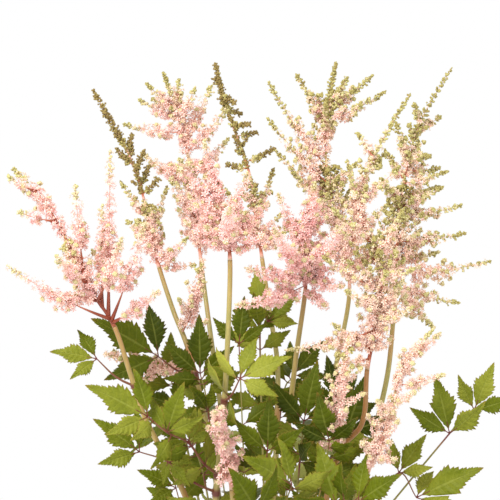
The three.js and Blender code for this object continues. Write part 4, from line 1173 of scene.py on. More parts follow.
def stalk_finish():
    """A ribbed stalk with long fibres. joint is 1 at its joints, and warm is how tan or orange it is."""
    finish = Finish("stalk", 0.42, Coat_Weight=0.15, Coat_Roughness=0.35)
    joint, warm = finish.attribute("joint"), finish.attribute("warm")
    fibres = finish.noise(scale=420, detail=3, squeeze=(1, 1, 0.03))
    patches = finish.noise(scale=28, detail=3, squeeze=(1, 1, 0.4))
    green = finish.ramp(fibres, (0.3, STALK_GREEN), (0.7, STALK_STRAW))
    tan = finish.ramp(fibres, (0.3, STALK_TAN), (0.7, STALK_ORANGE))
    body = finish.mix(finish.math("ADD", warm, finish.band(patches, 0.52, 0.75), clamp=True), green, tan)
    finish.colour(finish.mix(finish.band(joint, 0.15, 0.8), body, STALK_JOINT))
    finish.bump(fibres, 0.25 * MM)
    return finish.material


def petiole_finish():
    """A smooth petiole. red runs from green at 0 to dark red at 1."""
    finish = Finish("petiole", 0.45)
    red = finish.math("ADD", finish.attribute("red"), finish.math("MULTIPLY", finish.noise(scale=160), 0.3))
    finish.colour(finish.ramp(red, (0.1, PETIOLE_GREEN), (0.45, PETIOLE_BRONZE), (0.9, PETIOLE_RED)))
    return finish.material


def leaf_finish():
    """A leaf blade. along and across are the place on it, under is 1 below, and youth is how pale it is."""
    finish = Finish("leaf_blade", 0.5, Specular_IOR_Level=0.12)
    along, across, under, youth = (finish.attribute(name) for name in ("along", "across", "under", "youth"))
    out = finish.math("ABSOLUTE", across)
    run = finish.math("MULTIPLY_ADD", along, SIDE_VEINS, VEIN_START)
    side = finish.band(finish.math("PINGPONG", run, 0.5), 0.1, 0.02)
    midrib = finish.band(out, 0.11, 0.03)
    fade = finish.band(out, 1.0, 0.6)
    vein = finish.math("MAXIMUM", midrib, finish.math("MULTIPLY", finish.math("MULTIPLY", side, fade), 0.35))
    patches = finish.noise(scale=45, detail=4)
    grain = finish.noise(scale=700, detail=3)
    top = finish.ramp(
        finish.math("ADD", finish.math("MULTIPLY", youth, 0.8), finish.math("MULTIPLY", patches, 0.4)),
        (0.1, LEAF_DEEP), (0.5, LEAF_GREEN), (0.95, LEAF_YOUNG),
    )
    top = finish.mix(finish.band(grain, 0.4, 0.75), top, LEAF_GRAIN, "MULTIPLY")
    bottom = finish.mix(youth, LEAF_UNDER, LEAF_UNDER_YOUNG)
    face = finish.mix(finish.math("MULTIPLY", vein, 0.28), finish.mix(under, top, bottom), LEAF_VEIN)
    edge = finish.math("MULTIPLY", finish.band(out, 0.88, 1.0), 0.45)
    tip = finish.math("MULTIPLY", finish.band(along, 0.86, 1.0), 0.5)
    finish.colour(finish.mix(finish.math("MAXIMUM", edge, tip), face, LEAF_EDGE))
    height = finish.math("SUBTRACT", finish.math("MULTIPLY", grain, 0.25), finish.math("MULTIPLY", vein, 1.0))
    finish.bump(height, 0.35 * MM)
    return finish.material


def pot_finish():
    """Dark plastic, scuffed along its height."""
    finish = Finish("pot_plastic", 0.5)
    scuffs = finish.noise(scale=90, detail=5, squeeze=(1, 1, 0.25))
    finish.colour(finish.ramp(scuffs, (0.3, POT_BLACK), (0.75, POT_GREY)))
    finish.rough(finish.math("MULTIPLY_ADD", scuffs, 0.3, 0.38))
    finish.bump(finish.noise(scale=1500, detail=2), 0.1 * MM)
    return finish.material


def soil_finish():
    """Dark compost with paler fibres."""
    finish = Finish("compost", 0.95)
    crumbs = finish.noise(scale=220, detail=6)
    finish.colour(finish.ramp(crumbs, (0.3, SOIL_DARK), (0.6, SOIL_BROWN), (0.8, SOIL_FIBRE)))
    finish.bump(crumbs, 1.5 * MM)
    return finish.material


# ---- Meshes ----

# The attributes that the finishes read: a flower's or a twig's, a stalk's and a leaflet's
MARKS = ("reach", "age", "blush", "red")
STALK_MARKS = ("reach", "joint", "warm", "red")
BLADE_MARKS = ("along", "across", "under", "youth")
FLOWER_SLOT, TWIG_SLOT = 0, 1


def units(rows):
    """Rows, each at length 1."""
    return rows / np.linalg.norm(rows, axis=1)[:, None]


def show(name, mesh):
    piece = bpy.data.objects.new(name, mesh)
    bpy.context.scene.collection.objects.link(piece)
    return piece


def mesh_of(name, bm, smooth=False):
    """A bmesh, made a mesh and freed."""
    for face in bm.faces:
        face.smooth = smooth
    mesh = bpy.data.meshes.new(name)
    bm.to_mesh(mesh)
    bm.free()
    return mesh


def add_piece(piece):
    """A piece rides on the part."""
    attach(piece, "root")


def stand_for(piece, node):
    """A piece rides on the part and replaces a node of it."""
    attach(piece, "root")
    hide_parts(node)


class Template:
    """A small shape that is copied many times: its points and triangles, and reach at each point."""

    def __init__(self, bm, slot):
        bmesh.ops.recalc_face_normals(bm, faces=bm.faces[:])
        bmesh.ops.triangulate(bm, faces=bm.faces[:])
        bm.verts.ensure_lookup_table()
        layer = bm.verts.layers.float.get("reach")
        self.points = np.array([v.co for v in bm.verts])
        self.corners = np.array([[v.index for v in f.verts] for f in bm.faces])
        self.reach = np.array([v[layer] if layer else 0.0 for v in bm.verts])
        self.smooth = bool(bm.faces[:][0].smooth)
        self.slot = slot
        bm.free()


def spike(bm, corners, reaches):
    """A closed petal, stamen or thin stalk with four faces, by its four corners."""
    layer = bm.verts.layers.float["reach"]
    made = [bm.verts.new(corner) for corner in corners]
    for vertex, reach in zip(made, reaches):
        vertex[layer] = reach
    bmesh.ops.convex_hull(bm, input=made)
    return made


def floret_template(spread, petals, stamens):
    """A flower that looks up +Z, in millimetres. spread is how far its petals lean out, in radians."""
    bm = bmesh.new()
    bm.verts.layers.float.new("reach")
    ahead, up = Vector((np.sin(spread), 0, np.cos(spread))), Vector((-np.cos(spread), 0, np.sin(spread)))
    half = Vector((0, PETAL_WIDTH / 2, 0))
    shoulder = ahead * PETAL_LENGTH * PETAL_SHOULDER + up * PETAL_CUP
    tip = ahead * PETAL_LENGTH - up * PETAL_DROOP
    for i in range(petals):
        petal = spike(bm, (ahead * PETAL_FOOT, shoulder + half, shoulder - half, tip), PETAL_REACHES)
        bmesh.ops.rotate(bm, verts=petal, matrix=Matrix.Rotation(2 * np.pi * i / petals, 3, "Z"))
    lean = spread * STAMEN_SPREAD
    end = Vector((np.sin(lean), 0, np.cos(lean))) * STAMEN_LENGTH
    wide = ANTHER_WIDTH / 2
    anther = [end + Vector(corner) for corner in ((0, wide, wide), (0, -wide, wide), (wide, 0, -wide))]
    for i in range(stamens):
        thread = spike(bm, (*anther, (0, 0, 0)), STAMEN_REACHES)
        bmesh.ops.rotate(bm, verts=thread, matrix=Matrix.Rotation(2 * np.pi * (i + 0.5) / stamens, 3, "Z"))
    return Template(bm, FLOWER_SLOT)


def bud_template():
    """A bud that looks up +Z, 1 in radius, with few faces and smooth shading."""
    bm = bmesh.new()
    bmesh.ops.create_uvsphere(bm, u_segments=BUD_SIDES, v_segments=2, radius=1)
    bmesh.ops.scale(bm, verts=bm.verts[:], vec=(1, 1, BUD_STRETCH))
    for face in bm.faces:
        face.smooth = True
    return Template(bm, FLOWER_SLOT)


def stem_template():
    """A thin stalk from the origin to a point at z = 1."""
    bm = bmesh.new()
    bm.verts.layers.float.new("reach")
    foot = [(np.cos(turn), np.sin(turn), 0) for turn in np.linspace(0, 4 * np.pi / 3, 3)]
    spike(bm, (*foot, (0, 0, 1)), (0, 0, 0, 0))
    return Template(bm, TWIG_SLOT)


def frames_for(axes, turns):
    """For each unit axis, a rotation that takes +Z to it, with a turn about it."""
    helper = np.where(np.abs(axes[:, 2:3]) < 0.9, vec(0, 0, 1), vec(1, 0, 0))
    side = units(np.cross(helper, axes))
    other = np.cross(axes, side)
    cos, sin = np.cos(turns)[:, None], np.sin(turns)[:, None]
    return np.stack([side * cos + other * sin, other * cos - side * sin, axes], axis=2)


class Heap:
    """Copies of templates and rods, gathered for one mesh. Places are in millimetres."""

    def __init__(self, names=MARKS):
        self.names = names
        self.points, self.corners, self.slots, self.smooth, self.marks = [], [], [], [], []
        self.count = 0

    def add(self, points, corners, slot, smooth, marks):
        """marks are the attributes' values at each point, as columns in the order of the names."""
        self.points.append(points)
        self.corners.append(corners + self.count)
        self.slots.append(np.full(len(corners), slot))
        self.smooth.append(np.full(len(corners), smooth))
        self.marks.append(marks)
        self.count += len(points)

    def copy(self, template, places, axes, sizes, marks, turns=None):
        """Copies a template to places, looking along axes. sizes holds one size or three for each copy."""
        if not len(places):
            return
        turns = np.zeros(len(places)) if turns is None else turns
        sizes = np.broadcast_to(np.asarray(sizes, float).reshape(len(places), -1), (len(places), 3))
        shaped = template.points[None] * sizes[:, None]
        points = np.einsum("nij,nkj->nki", frames_for(axes, turns), shaped) + places[:, None]
        number = len(template.points)
        corners = template.corners[None] + (np.arange(len(places)) * number)[:, None, None]
        columns = np.repeat(marks, number, axis=0)
        columns[:, 0] = np.tile(template.reach, len(places))
        self.add(points.reshape(-1, 3), corners.reshape(-1, 3), template.slot, template.smooth, columns)

    def add_rods(self, rods, slot, resolution):
        """Round rods with closed ends, each given as rows of place and radius, and its marks for each row."""
        curve = bpy.data.curves.new("rods", "CURVE")
        curve.dimensions = "3D"
        curve.bevel_depth = 1
        curve.bevel_resolution = resolution
        curve.use_fill_caps = True
        for rows, _ in rods:
            spline = curve.splines.new("POLY")
            spline.points.add(len(rows) - 1)
            spline.points.foreach_set("co", np.column_stack([rows[:, :3], np.ones(len(rows))]).ravel())
            spline.points.foreach_set("radius", rows[:, 3])
        holder = bpy.data.objects.new("rods", curve)
        mesh = bpy.data.meshes.new_from_object(holder)
        bm = bmesh.new()
        bm.from_mesh(mesh)
        bmesh.ops.remove_doubles(bm, verts=bm.verts[:], dist=1e-4)
        bmesh.ops.recalc_face_normals(bm, faces=bm.faces[:])
        bmesh.ops.triangulate(bm, faces=bm.faces[:])
        points = np.array([v.co for v in bm.verts])
        corners = np.array([[v.index for v in f.verts] for f in bm.faces])
        bm.free()
        bpy.data.objects.remove(holder)
        bpy.data.curves.remove(curve)
        bpy.data.meshes.remove(mesh)
        rows, row_marks = (np.vstack(parts) for parts in zip(*rods))
        tree = KDTree(len(rows))
        for i, row in enumerate(rows):
            tree.insert(row[:3], i)
        tree.balance()
        marks = row_marks[[tree.find(point)[1] for point in points]]
        self.add(points, corners, slot, True, marks)

    def finish(self, name, materials):
        """All of it as one object, in metres."""
        points = np.vstack(self.points) * MM
        corners = np.vstack(self.corners)
        mesh = bpy.data.meshes.new(name)
        mesh.vertices.add(len(points))
        mesh.vertices.foreach_set("co", points.ravel())
        mesh.loops.add(corners.size)
        mesh.loops.foreach_set("vertex_index", corners.ravel())
        mesh.polygons.add(len(corners))
        mesh.polygons.foreach_set("loop_start", np.arange(0, corners.size, 3))
        mesh.polygons.foreach_set("material_index", np.concatenate(self.slots))
        mesh.polygons.foreach_set("use_smooth", np.concatenate(self.smooth))
        marks = np.vstack(self.marks).T.copy()
        for column, mark in enumerate(self.names):
            mesh.attributes.new(mark, "FLOAT", "POINT").data.foreach_set("value", marks[column])
        for material in materials:
            mesh.materials.append(material)
        mesh.update(calc_edges=True)
        mesh.validate()
        return show(name, mesh)


# ---- Flowers ----


def marks_of(count, age=0.0, blush=0.0, red=0.0):
    """The marks of points, as columns. A stalk has its joints for age and its tan for blush."""
    return np.column_stack([np.zeros(count), *(np.broadcast_to(value, count) for value in (age, blush, red))])


class Twig:
    """A flowering twig being dressed: a spray, a smaller one on it, or the axis between the sprays."""

    def __init__(
        self, look, bend, length, reach, start=0, end=1,
        bare=BARE_SHARE, height=(0, 0), ripeness=(0, 1), branchlets=BRANCHLETS,
    ):
        """height is how far up the panicle its foot and tip are, and ripeness how late they flower."""
        self.look, self.bend, self.length, self.reach = look, bend, length, reach
        self.start, self.end, self.bare = start, end, bare
        self.height, self.ripeness, self.branchlets_each = height, ripeness, branchlets
        self.in_bud = look["open"] < ALL_BUD

    def at(self, s):
        return self.bend.at(self.start + (self.end - self.start) * s)

    def frames(self, s):
        """Places along the twig, and its heading and two directions square to it at each."""
        step = 1e-3
        ahead = units(self.at(np.minimum(s + step, 1)) - self.at(np.maximum(s - step, 0)))
        helper = np.where(np.abs(ahead[:, 2:3]) < 0.9, vec(0, 0, 1), vec(1, 0, 0))
        side = units(np.cross(ahead, helper))
        return self.at(s), ahead, side, np.cross(ahead, side)

    def radius(self, s):
        """How far its flowers spread, at a share of it."""
        foot, tip = BUD_SPREAD if self.in_bud else TWIG_SPREAD
        return self.reach * (foot + (tip - foot) * s)

    def branchlets(self):
        """Branchlets in loose whorls: their shares of the twig, roots, directions, ways out and lengths."""
        pitch = BUD_PITCH if self.in_bud else WHORL_PITCH
        whorls = max(2, int(round(self.length * (1 - self.bare) / pitch)))
        crowding = np.linspace(*TWIG_CROWDING, whorls)
        whorl = np.repeat(np.arange(whorls), np.round(crowding * self.branchlets_each).astype(int))
        count = len(whorl)
        spot = (whorl + 0.5 + rng.uniform(-WHORL_SPREAD, WHORL_SPREAD, count)) / whorls
        s = np.clip(self.bare + (1 - self.bare) * spot, 0, LAST_BRANCHLET)
        root, ahead, side, other = self.frames(s)
        swing = rng.uniform(-BRANCHLET_SWING, BRANCHLET_SWING, count)
        turn = (np.arange(count) * GOLDEN_ANGLE + swing)[:, None]
        lean = rng.uniform(*BRANCHLET_LEAN, count)[:, None]
        out = side * np.cos(turn) + other * np.sin(turn)
        direction = out * np.cos(lean) + ahead * np.sin(lean)
        share = rng.uniform(*BRANCHLET_LENGTH, count)
        length = self.radius(s) * share * np.clip((1 - s) / TIP_REACH, TIP_SHORTEST, 1)
        return s, root, direction, out, length

    def ages(self, s):
        """0 in a tight bud, past OPENS_AT in flower."""
        height, ripeness = (a + (b - a) * s for a, b in (self.height, self.ripeness))
        age = OPENS_AT + (self.look["open"] - self.look["younger"] * height - ripeness) / AGE_SPAN
        age = age + rng.normal(0, self.look["ragged"], len(s))
        return np.clip(age, self.look.get("least_age", LEAST_AGE), 1)

    def dress(self, heap):
        """Puts the branchlets on it, with their flowers and buds."""
        s, root, direction, out, length = self.branchlets()
        age = self.ages(s)
        is_open = age > OPENS_AT
        length = np.where(is_open, length, length * BUD_TUCK)
        blush = np.clip(self.look["blush"] + rng.normal(0, BLUSH_SPREAD, len(s)), 0, 1)
        red = BRANCHLET_RED - BRANCHLET_FADE * s
        under_flower = np.maximum(length - PETAL_LENGTH * FLOWER_OVERHANG, SHORTEST_STEM)
        stem_length = np.where(is_open, under_flower, length)
        sizes = np.column_stack([np.full((len(s), 2), BRANCHLET_RADIUS), stem_length + FLOWER_STALK])
        heap.copy(stem, root, direction, sizes, marks_of(len(s), red=red))
        self.flowers(heap, is_open, root, direction, out, stem_length, age, blush)
        self.buds(heap, ~is_open, root, direction, length, age, blush)
        if self.end == 1 or self.bare:
            self.tip(heap)

    def flowers(self, heap, chosen, root, direction, out, length, age, blush):
        """One flower at each open branchlet's end, and others beside it on the longer ones."""
        for share, sideways, least in FLOWER_PLACES:
            held = chosen & (length >= least)
            count = int(held.sum())
            if not count:
                continue
            turn = rng.uniform(0, 2 * np.pi, count)[:, None]
            along = direction[held]
            square = units(np.cross(along, out[held] + rng.normal(0, FLOWER_ASIDE_SPREAD, (count, 3))))
            beside = square * np.cos(turn) + np.cross(along, square) * np.sin(turn)
            foot = root[held] + along * (length[held] * share)[:, None]
            face = units(along * (1 - sideways) + beside * sideways)
            place = foot + face * (FLOWER_STALK if share == 1 else BESIDE)
            tint = np.clip(blush[held] + rng.normal(0, FLOWER_BLUSH_SPREAD, count), 0, 1)
            marks = marks_of(count, age[held], tint)
            grown_up = YOUNG_SIZE + (1 - YOUNG_SIZE) * np.clip((age[held] - OPENS_AT) / GROWN_AFTER, 0, 1)
            size = rng.uniform(*FLOWER_SIZES, count) * grown_up
            turns = rng.uniform(0, 2 * np.pi, count)
            wide = rng.random(count) < WIDE_SHARE
            for template, these in ((open_floret, wide), (half_floret, ~wide)):
                heap.copy(template, place[these], face[these], size[these], marks[these], turns[these])

    def buds(self, heap, chosen, root, direction, length, age, blush):
        """Tight buds in short rows along their branchlets."""
        for share in BUD_PLACES:
            held = chosen & (length * share > BUD_NEAREST)
            count = int(held.sum())
            if not count:
                continue
            along = direction[held]
            aside = rng.normal(0, BUD_SCATTER, (count, 3))
            place = root[held] + along * (length[held] * share)[:, None] + aside
            face = units(along + rng.normal(0, BUD_FACE_SPREAD, along.shape))
            size = BUD_RADIUS * rng.uniform(*BUD_SIZES, count) * (BUD_SMALLEST + BUD_GROWTH * age[held])
            tint = np.clip(age[held] * BUD_TINT + rng.normal(0, BUD_TINT_SPREAD, count), 0, BUD_TINT_LAST)
            heap.copy(bud, place, face, size, marks_of(count, tint, blush[held]))

    def tip(self, heap):
        """The twig ends in a small cone of buds."""
        s = np.linspace(TIP_STRETCH, 1.0, TIP_BUDS)
        place, ahead, side, other = self.frames(s)
        turn = (np.arange(TIP_BUDS) * GOLDEN_ANGLE)[:, None]
        width = np.linspace(BUD_TIP_WIDTH if self.in_bud else TIP_WIDTH, TIP_POINT, TIP_BUDS)[:, None]
        place = place + (side * np.cos(turn) + other * np.sin(turn)) * width
        size = BUD_RADIUS * np.linspace(*TIP_SIZES, TIP_BUDS)
        age = np.clip(self.ages(s) * BUD_TINT, 0, TIP_AGE)
        heap.copy(bud, place, ahead, size, marks_of(TIP_BUDS, age))

    def side_twigs(self, rule):
        """The smaller twigs on it, by a rule."""
        (low, high), longest = rule["stretch"], rule["longest"] * self.look.get("long", 1)
        low = max(low, self.look.get("bare", 0) * BARE_NEAR)
        count = int(self.length * (high - low) / rule["pitch"] * self.look.get("crowd", 1))
        made = []
        for i in range(count):
            s = low + (high - low) * (i + rng.uniform(*SIDE_PLACES)) / count
            length = min(self.length * rule["share"] * (1 - s), longest) * rng.uniform(*SIDE_LENGTHS)
            if length < SIDE_SHORTEST:
                continue
            (root,), (ahead,), (side,), (other,) = self.frames(np.array([s]))
            turn = i * GOLDEN_ANGLE + rng.uniform(-SIDE_SWING, SIDE_SWING)
            lean = rng.uniform(*rule["lean"])
            heading = (side * np.cos(turn) + other * np.sin(turn)) * np.cos(lean) + ahead * np.sin(lean)
            twig = Twig(
                self.look,
                Bow(root, root + heading * length),
                length,
                self.reach * rule.get("reach", SIDE_REACH),
                bare=SIDE_TWIG_BARE,
                height=[self.height[0] + (self.height[1] - self.height[0]) * s] * 2,
                ripeness=(s * SIDE_AHEAD, min(1, s * SIDE_AHEAD + SIDE_LATER)),
                branchlets=SIDE_BRANCHLETS,
            )
            made.append(twig)
        return made

    def rod(self, radius, foot=0.0):
        """Its own stem, as rows of place and radius, with its marks. foot is what thickens its foot."""
        s = np.linspace(0, 1, max(4, int(self.length / ROD_STEP)))
        red = self.look["red"] * np.clip(1 - s / RED_REACH, ROD_LEAST_RED, 1)
        thickness = radius * (1 - ROD_TAPER * s) + foot * np.clip(1 - s / FOOT_REACH, 0, 1)
        return np.column_stack([self.at(s), thickness]), marks_of(len(s), red=red)


def rachis_rod(rachis, look):
    """A panicle's axis, as rows of place and radius, with its marks."""
    bend, start, end, radius_at = rachis
    t = np.linspace(start, end, max(4, int(bend.length() * (end - start) / ROD_STEP)))
    share = np.linspace(0, 1, len(t))
    risen = np.clip(look.get("collar", 0) + share / RED_FROM, 0, 1)
    red = np.clip(look["red"] - AXIS_RED_FADE * share, 0, 1) * risen
    slim = 1 - (1 - RACHIS_SLIMNESS) * np.clip(share / RED_FROM, 0, 1)
    radius = np.array([radius_at(x) for x in t]) * slim
    return np.column_stack([bend.at(t), radius]), marks_of(len(t), red=red)


def axis_twig(rachis, look, bare=0.0):
    """A stretch of the panicle's axis, which carries flowers between its sprays."""
    bend, start, end, _ = rachis
    length = bend.length() * (end - start)
    reach = (AXIS_BUD_REACH if look["open"] < ALL_BUD else AXIS_REACH) * look.get("slim", 1)
    ripeness = (AXIS_RIPENESS, AXIS_RIPENESS)
    return Twig(look, bend, length, reach, start, end, bare=bare, height=(0, 1), ripeness=ripeness)


def make_flowers(node):
    """A panicle, or the buds above one, in one piece."""
    look = LOOKS[node]
    in_bud = look["open"] < ALL_BUD
    heap = Heap()
    twigs = []
    for bend, length, reach, start, height in sprays[node]:
        reach *= (BUD_FULLNESS if in_bud else SPRAY_FULLNESS) * look.get("slim", 1)
        bare = 0 if start else look.get("bare", BARE_SHARE)
        twigs.append(Twig(look, bend, length, reach, start, bare=bare, height=(height, height)))
    axes = rachises.get(node, [])
    middles = [axis_twig(axis, look, 0 if i else look.get("bare", AXIS_BARE)) for i, axis in enumerate(axes)]
    if in_bud:
        smaller = [side for middle in middles for side in middle.side_twigs(ON_BUD_AXES)]
    else:
        smaller = [side for twig in twigs for side in twig.side_twigs(ON_SPRAYS)]
        smaller += [side for middle in middles for side in middle.side_twigs(ON_AXES)]
    rods = [rachis_rod(axis, look) for axis in axes]
    rods += [twig.rod(SPRAY_ROD_RADIUS, look.get("foot", 0)) for twig in twigs]
    heap.add_rods(rods, TWIG_SLOT, 1)
    if smaller:
        heap.add_rods([side.rod(SIDE_ROD_RADIUS) for side in smaller], TWIG_SLOT, 0)
    for twig in twigs + smaller + middles:
        twig.dress(heap)
    piece = heap.finish(f"{node}_flowers", [flower_material, twig_material])
    stand_for(piece, node)


# ---- Stalks ----


def stalk_rod(stalk, node):
    """A stalk, swollen a little at its joints, as rows of place and radius, and its marks."""
    bend, start, end, radius_at = stalk
    length = bend.length()
    t = np.linspace(start, end, int(length * (end - start) / STALK_STEP))
    joint = np.zeros(len(t))
    for where in joints.get(node, []):
        joint = np.maximum(joint, np.exp(-(((t - where) * length / JOINT_REACH) ** 2)))
    radius = np.array([radius_at(x) for x in t]) * (1 + JOINT_SWELL * joint)
    rows = np.column_stack([bend.at(t), radius])
    top = TOP_WARMTH * np.clip((t / end - TOP_FROM) / (1 - TOP_FROM), 0, 1)
    return rows, marks_of(len(t), age=joint, blush=WARMTH.get(node, WARMTH_ELSEWHERE) + top)


def add_joint_hairs(heap, stalk, node):
    """Fine brown hairs stand round each joint."""
    bend, _, _, radius_at = stalk
    for where in joints.get(node, []):
        t = np.clip(where + rng.normal(0, HAIR_SPREAD, JOINT_HAIRS), 0, 1)
        ahead = bend.heading(where)
        turn = rng.uniform(0, 2 * np.pi, JOINT_HAIRS)[:, None]
        side = square_to(vec(0, 1, 0.1), ahead)
        out = side * np.cos(turn) + np.cross(ahead, side) * np.sin(turn)
        axes = units(out + ahead * rng.uniform(*HAIR_LEAN, (JOINT_HAIRS, 1)))
        lengths = rng.uniform(*HAIR_SHARES, JOINT_HAIRS) * HAIR_LENGTH
        sizes = np.column_stack([np.full((JOINT_HAIRS, 2), HAIR_RADIUS), lengths])
        places = bend.at(t) + out * radius_at(where)
        heap.copy(stem, places, axes, sizes, marks_of(JOINT_HAIRS, red=HAIR_RED))


def make_stalk(node):
    """A flowering stalk with the hairs at its joints."""
    heap = Heap(STALK_MARKS)
    stalk = stalks[node][0]
    heap.add_rods([stalk_rod(stalk, node)], 0, STALK_RESOLUTION)
    add_joint_hairs(heap, stalk, node)
    stand_for(heap.finish(f"{node}_ribbed", [stalk_material, twig_material]), node)


# ---- Leaves ----


def tooth_profile(rows):
    """How far each row of a blade reaches: tips and notches by turns, a big tooth after every small one."""
    reach = np.ones(rows)
    reach[1::4] = 1 + SMALL_TOOTH * SMALL_POINT
    reach[3::4] = 1 + BIG_TOOTH * BIG_POINT
    reach[0::4] = 1 - BIG_TOOTH
    reach[2::4] = 1 - SMALL_TOOTH
    return reach


def blade_shape(leaflet, along, out):
    """Where each point of a leaflet's grid lies along and across it, and how high over its plain sheet."""
    count = leaflet["rows"]
    rows = np.round(along * (count - 1)).astype(int)
    s = BLADE_START + (1 - BLADE_START) * along
    points_ahead = 1 + TOOTH_LEAN * (rows % 2) * np.abs(out) ** TOOTH_LEAN_EDGE
    s = np.clip(s + EDGE_SLANT * np.abs(out) * np.sin(np.pi * along) * points_ahead, 0, 1)
    foot = np.sin(np.pi / 2 * np.clip(along / BLADE_SHOULDER, 0, 1)) ** SHOULDER_ROUNDING
    reach = 1 + (tooth_profile(count)[rows] - 1) * np.abs(out) ** TOOTH_EDGE
    drawn_out = 1 - TIP_SLIMMING * np.sin(np.pi * np.clip((s - TIP_FROM) / (1 - TIP_FROM), 0, 1))
    across = out * foot * reach * drawn_out * BLADE_FULLNESS * blade_half_width(s, leaflet["length"])
    vein = (along * SIDE_VEINS + VEIN_START) * np.pi
    quilt = QUILT * np.sin(vein) ** 2 * np.sin(np.pi * np.abs(out)) * np.sin(np.pi * along)
    swing = np.sin(along * WAVE_TURNS + leaflet["phase"] + WAVE_OFFSET * np.sign(out))
    wave = WAVE * out**2 * swing * np.sin(np.pi * along)
    curl = -TIP_CURL * along**CURL_POWER
    return s, across, quilt + wave + curl


def drawn_in(leaflet, points, ribs):
    """Points that would reach past the plane between two leaflets, moved back towards the midrib."""
    for facing in leaflet["walls"]:
        inner, outer = (ribs - leaflet["hub"]) @ facing, (points - leaflet["hub"]) @ facing
        share = np.where(outer < GAP, np.clip((inner - GAP) / np.maximum(inner - outer, 1e-6), 0, 1), 1)
        points = ribs + (points - ribs) * share[:, None]
    return points


def faces_of(vertices):
    """The faces at some vertices, each once, in the same order on every run."""
    return list(dict.fromkeys(face for vertex in vertices for face in vertex.link_faces))


def add_blade(bm, leaflet, layers):
    """One leaflet: a grid laid on its sheet, with toothed edges, then given its thickness."""
    start = len(bm.verts)
    steps = {"x_segments": leaflet["columns"] - 1, "y_segments": leaflet["rows"] - 1}
    grid = bmesh.ops.create_grid(bm, size=1, **steps)["verts"]
    flat = np.array([v.co[:2] for v in grid])
    out, along = flat[:, 0], (flat[:, 1] + 1) / 2
    s, across, above = blade_shape(leaflet, along, out)
    ribs = blade_point(leaflet, s, across * 0, above * 0)
    points = drawn_in(leaflet, blade_point(leaflet, s, across, above), ribs)
    for vertex, point, a, o in zip(grid, points, along, out):
        vertex.co = point
        vertex[layers["along"]], vertex[layers["across"]], vertex[layers["youth"]] = a, o, leaflet["youth"]
    bmesh.ops.remove_doubles(bm, verts=grid, dist=MERGE_DISTANCE)
    bm.verts.ensure_lookup_table()
    faces = faces_of(bm.verts[start:])
    made = bmesh.ops.extrude_face_region(bm, geom=faces, use_keep_orig=True)["geom"]
    lower = [item for item in made if isinstance(item, bmesh.types.BMVert)]
    up = Vector(square_to(leaflet["face"], leaflet["direction"]))
    bmesh.ops.translate(bm, verts=lower, vec=-up * BLADE_THICKNESS)
    for vertex in lower:
        vertex[layers["under"]] = 1.0
    bm.verts.ensure_lookup_table()
    bmesh.ops.recalc_face_normals(bm, faces=faces_of(bm.verts[start:]))


def pairs_on(node):
    """Yields smaller leaflets in pairs along a leaf's petiole, from its hub down, each where it has room."""
    bend = petioles[node][0][0]
    for t in np.arange(PAIR_HIGHEST, 0, -PAIR_PITCH / bend.length()):
        root, heading = bend.at(t), bend.heading(t)
        if root[2] < PAIR_LOWEST:
            break
        face = square_to(vec(*FRONT) if node in YOUTH else vec(root[0], root[1], PAIR_FACE_UP), heading)
        for way in (1, -1):
            out = np.cross(heading, face) * way
            wanted = unit(out + heading * PAIR_LEAN * pair_rng.uniform(*PAIR_LEANS))
            size = pair_rng.uniform(*PAIR_LENGTH)
            leaflet = find_leaflet(root, wanted, square_to(face, wanted), size)
            if leaflet and leaflet["length"] >= PAIR_SHORTEST:
                youth = YOUTH.get(node, YOUTH_ELSEWHERE) + pair_rng.normal(PAIR_YOUTH, PAIR_YOUTH_SPREAD)
                leaflet["walls"], leaflet["rows"], leaflet["columns"] = [], PAIR_ROWS, PAIR_COLUMNS
                leaflet["youth"] = float(np.clip(youth, 0, 1))
                leaflet["phase"] = pair_rng.uniform(*WAVE_PHASES)
                thicket.take(blade_balls(leaflet), node)
                yield leaflet


def petiole_rod(petiole):
    """A petiole, redder at its hubs, as rows of place and radius, with its marks."""
    bend, start, end, radius_at = petiole
    t = np.linspace(start, end, max(PETIOLE_FEWEST_RINGS, int(bend.length() / ROD_STEP)))
    hubs = bend.spans - 1
    blush = PETIOLE_BLUSH if bend.at(0.0)[2] < SOIL_TOP else STALK_LEAF_BLUSH
    from_hub = np.minimum((1 - t) % (1 / (hubs + 1)), 1 - t)
    red = blush + (1 - blush) * np.exp(-((from_hub * HUB_RED_SHARPNESS) ** 2))
    return np.column_stack([bend.at(t), [radius_at(x) for x in t]]), marks_of(len(t), red=red)


def petiolule_rod(leaflet):
    """A leaflet's own short stalk, which runs on into its midrib."""
    s = np.linspace(0, PETIOLULE_REACH, 4 if leaflet["rows"] == PAIR_ROWS else 5)
    radius = PETIOLULE_RADIUS * (1 - PETIOLULE_TAPER * s)
    marks = marks_of(len(s), red=PETIOLULE_RED)
    return np.column_stack([blade_point(leaflet, s, s * 0), radius]), marks


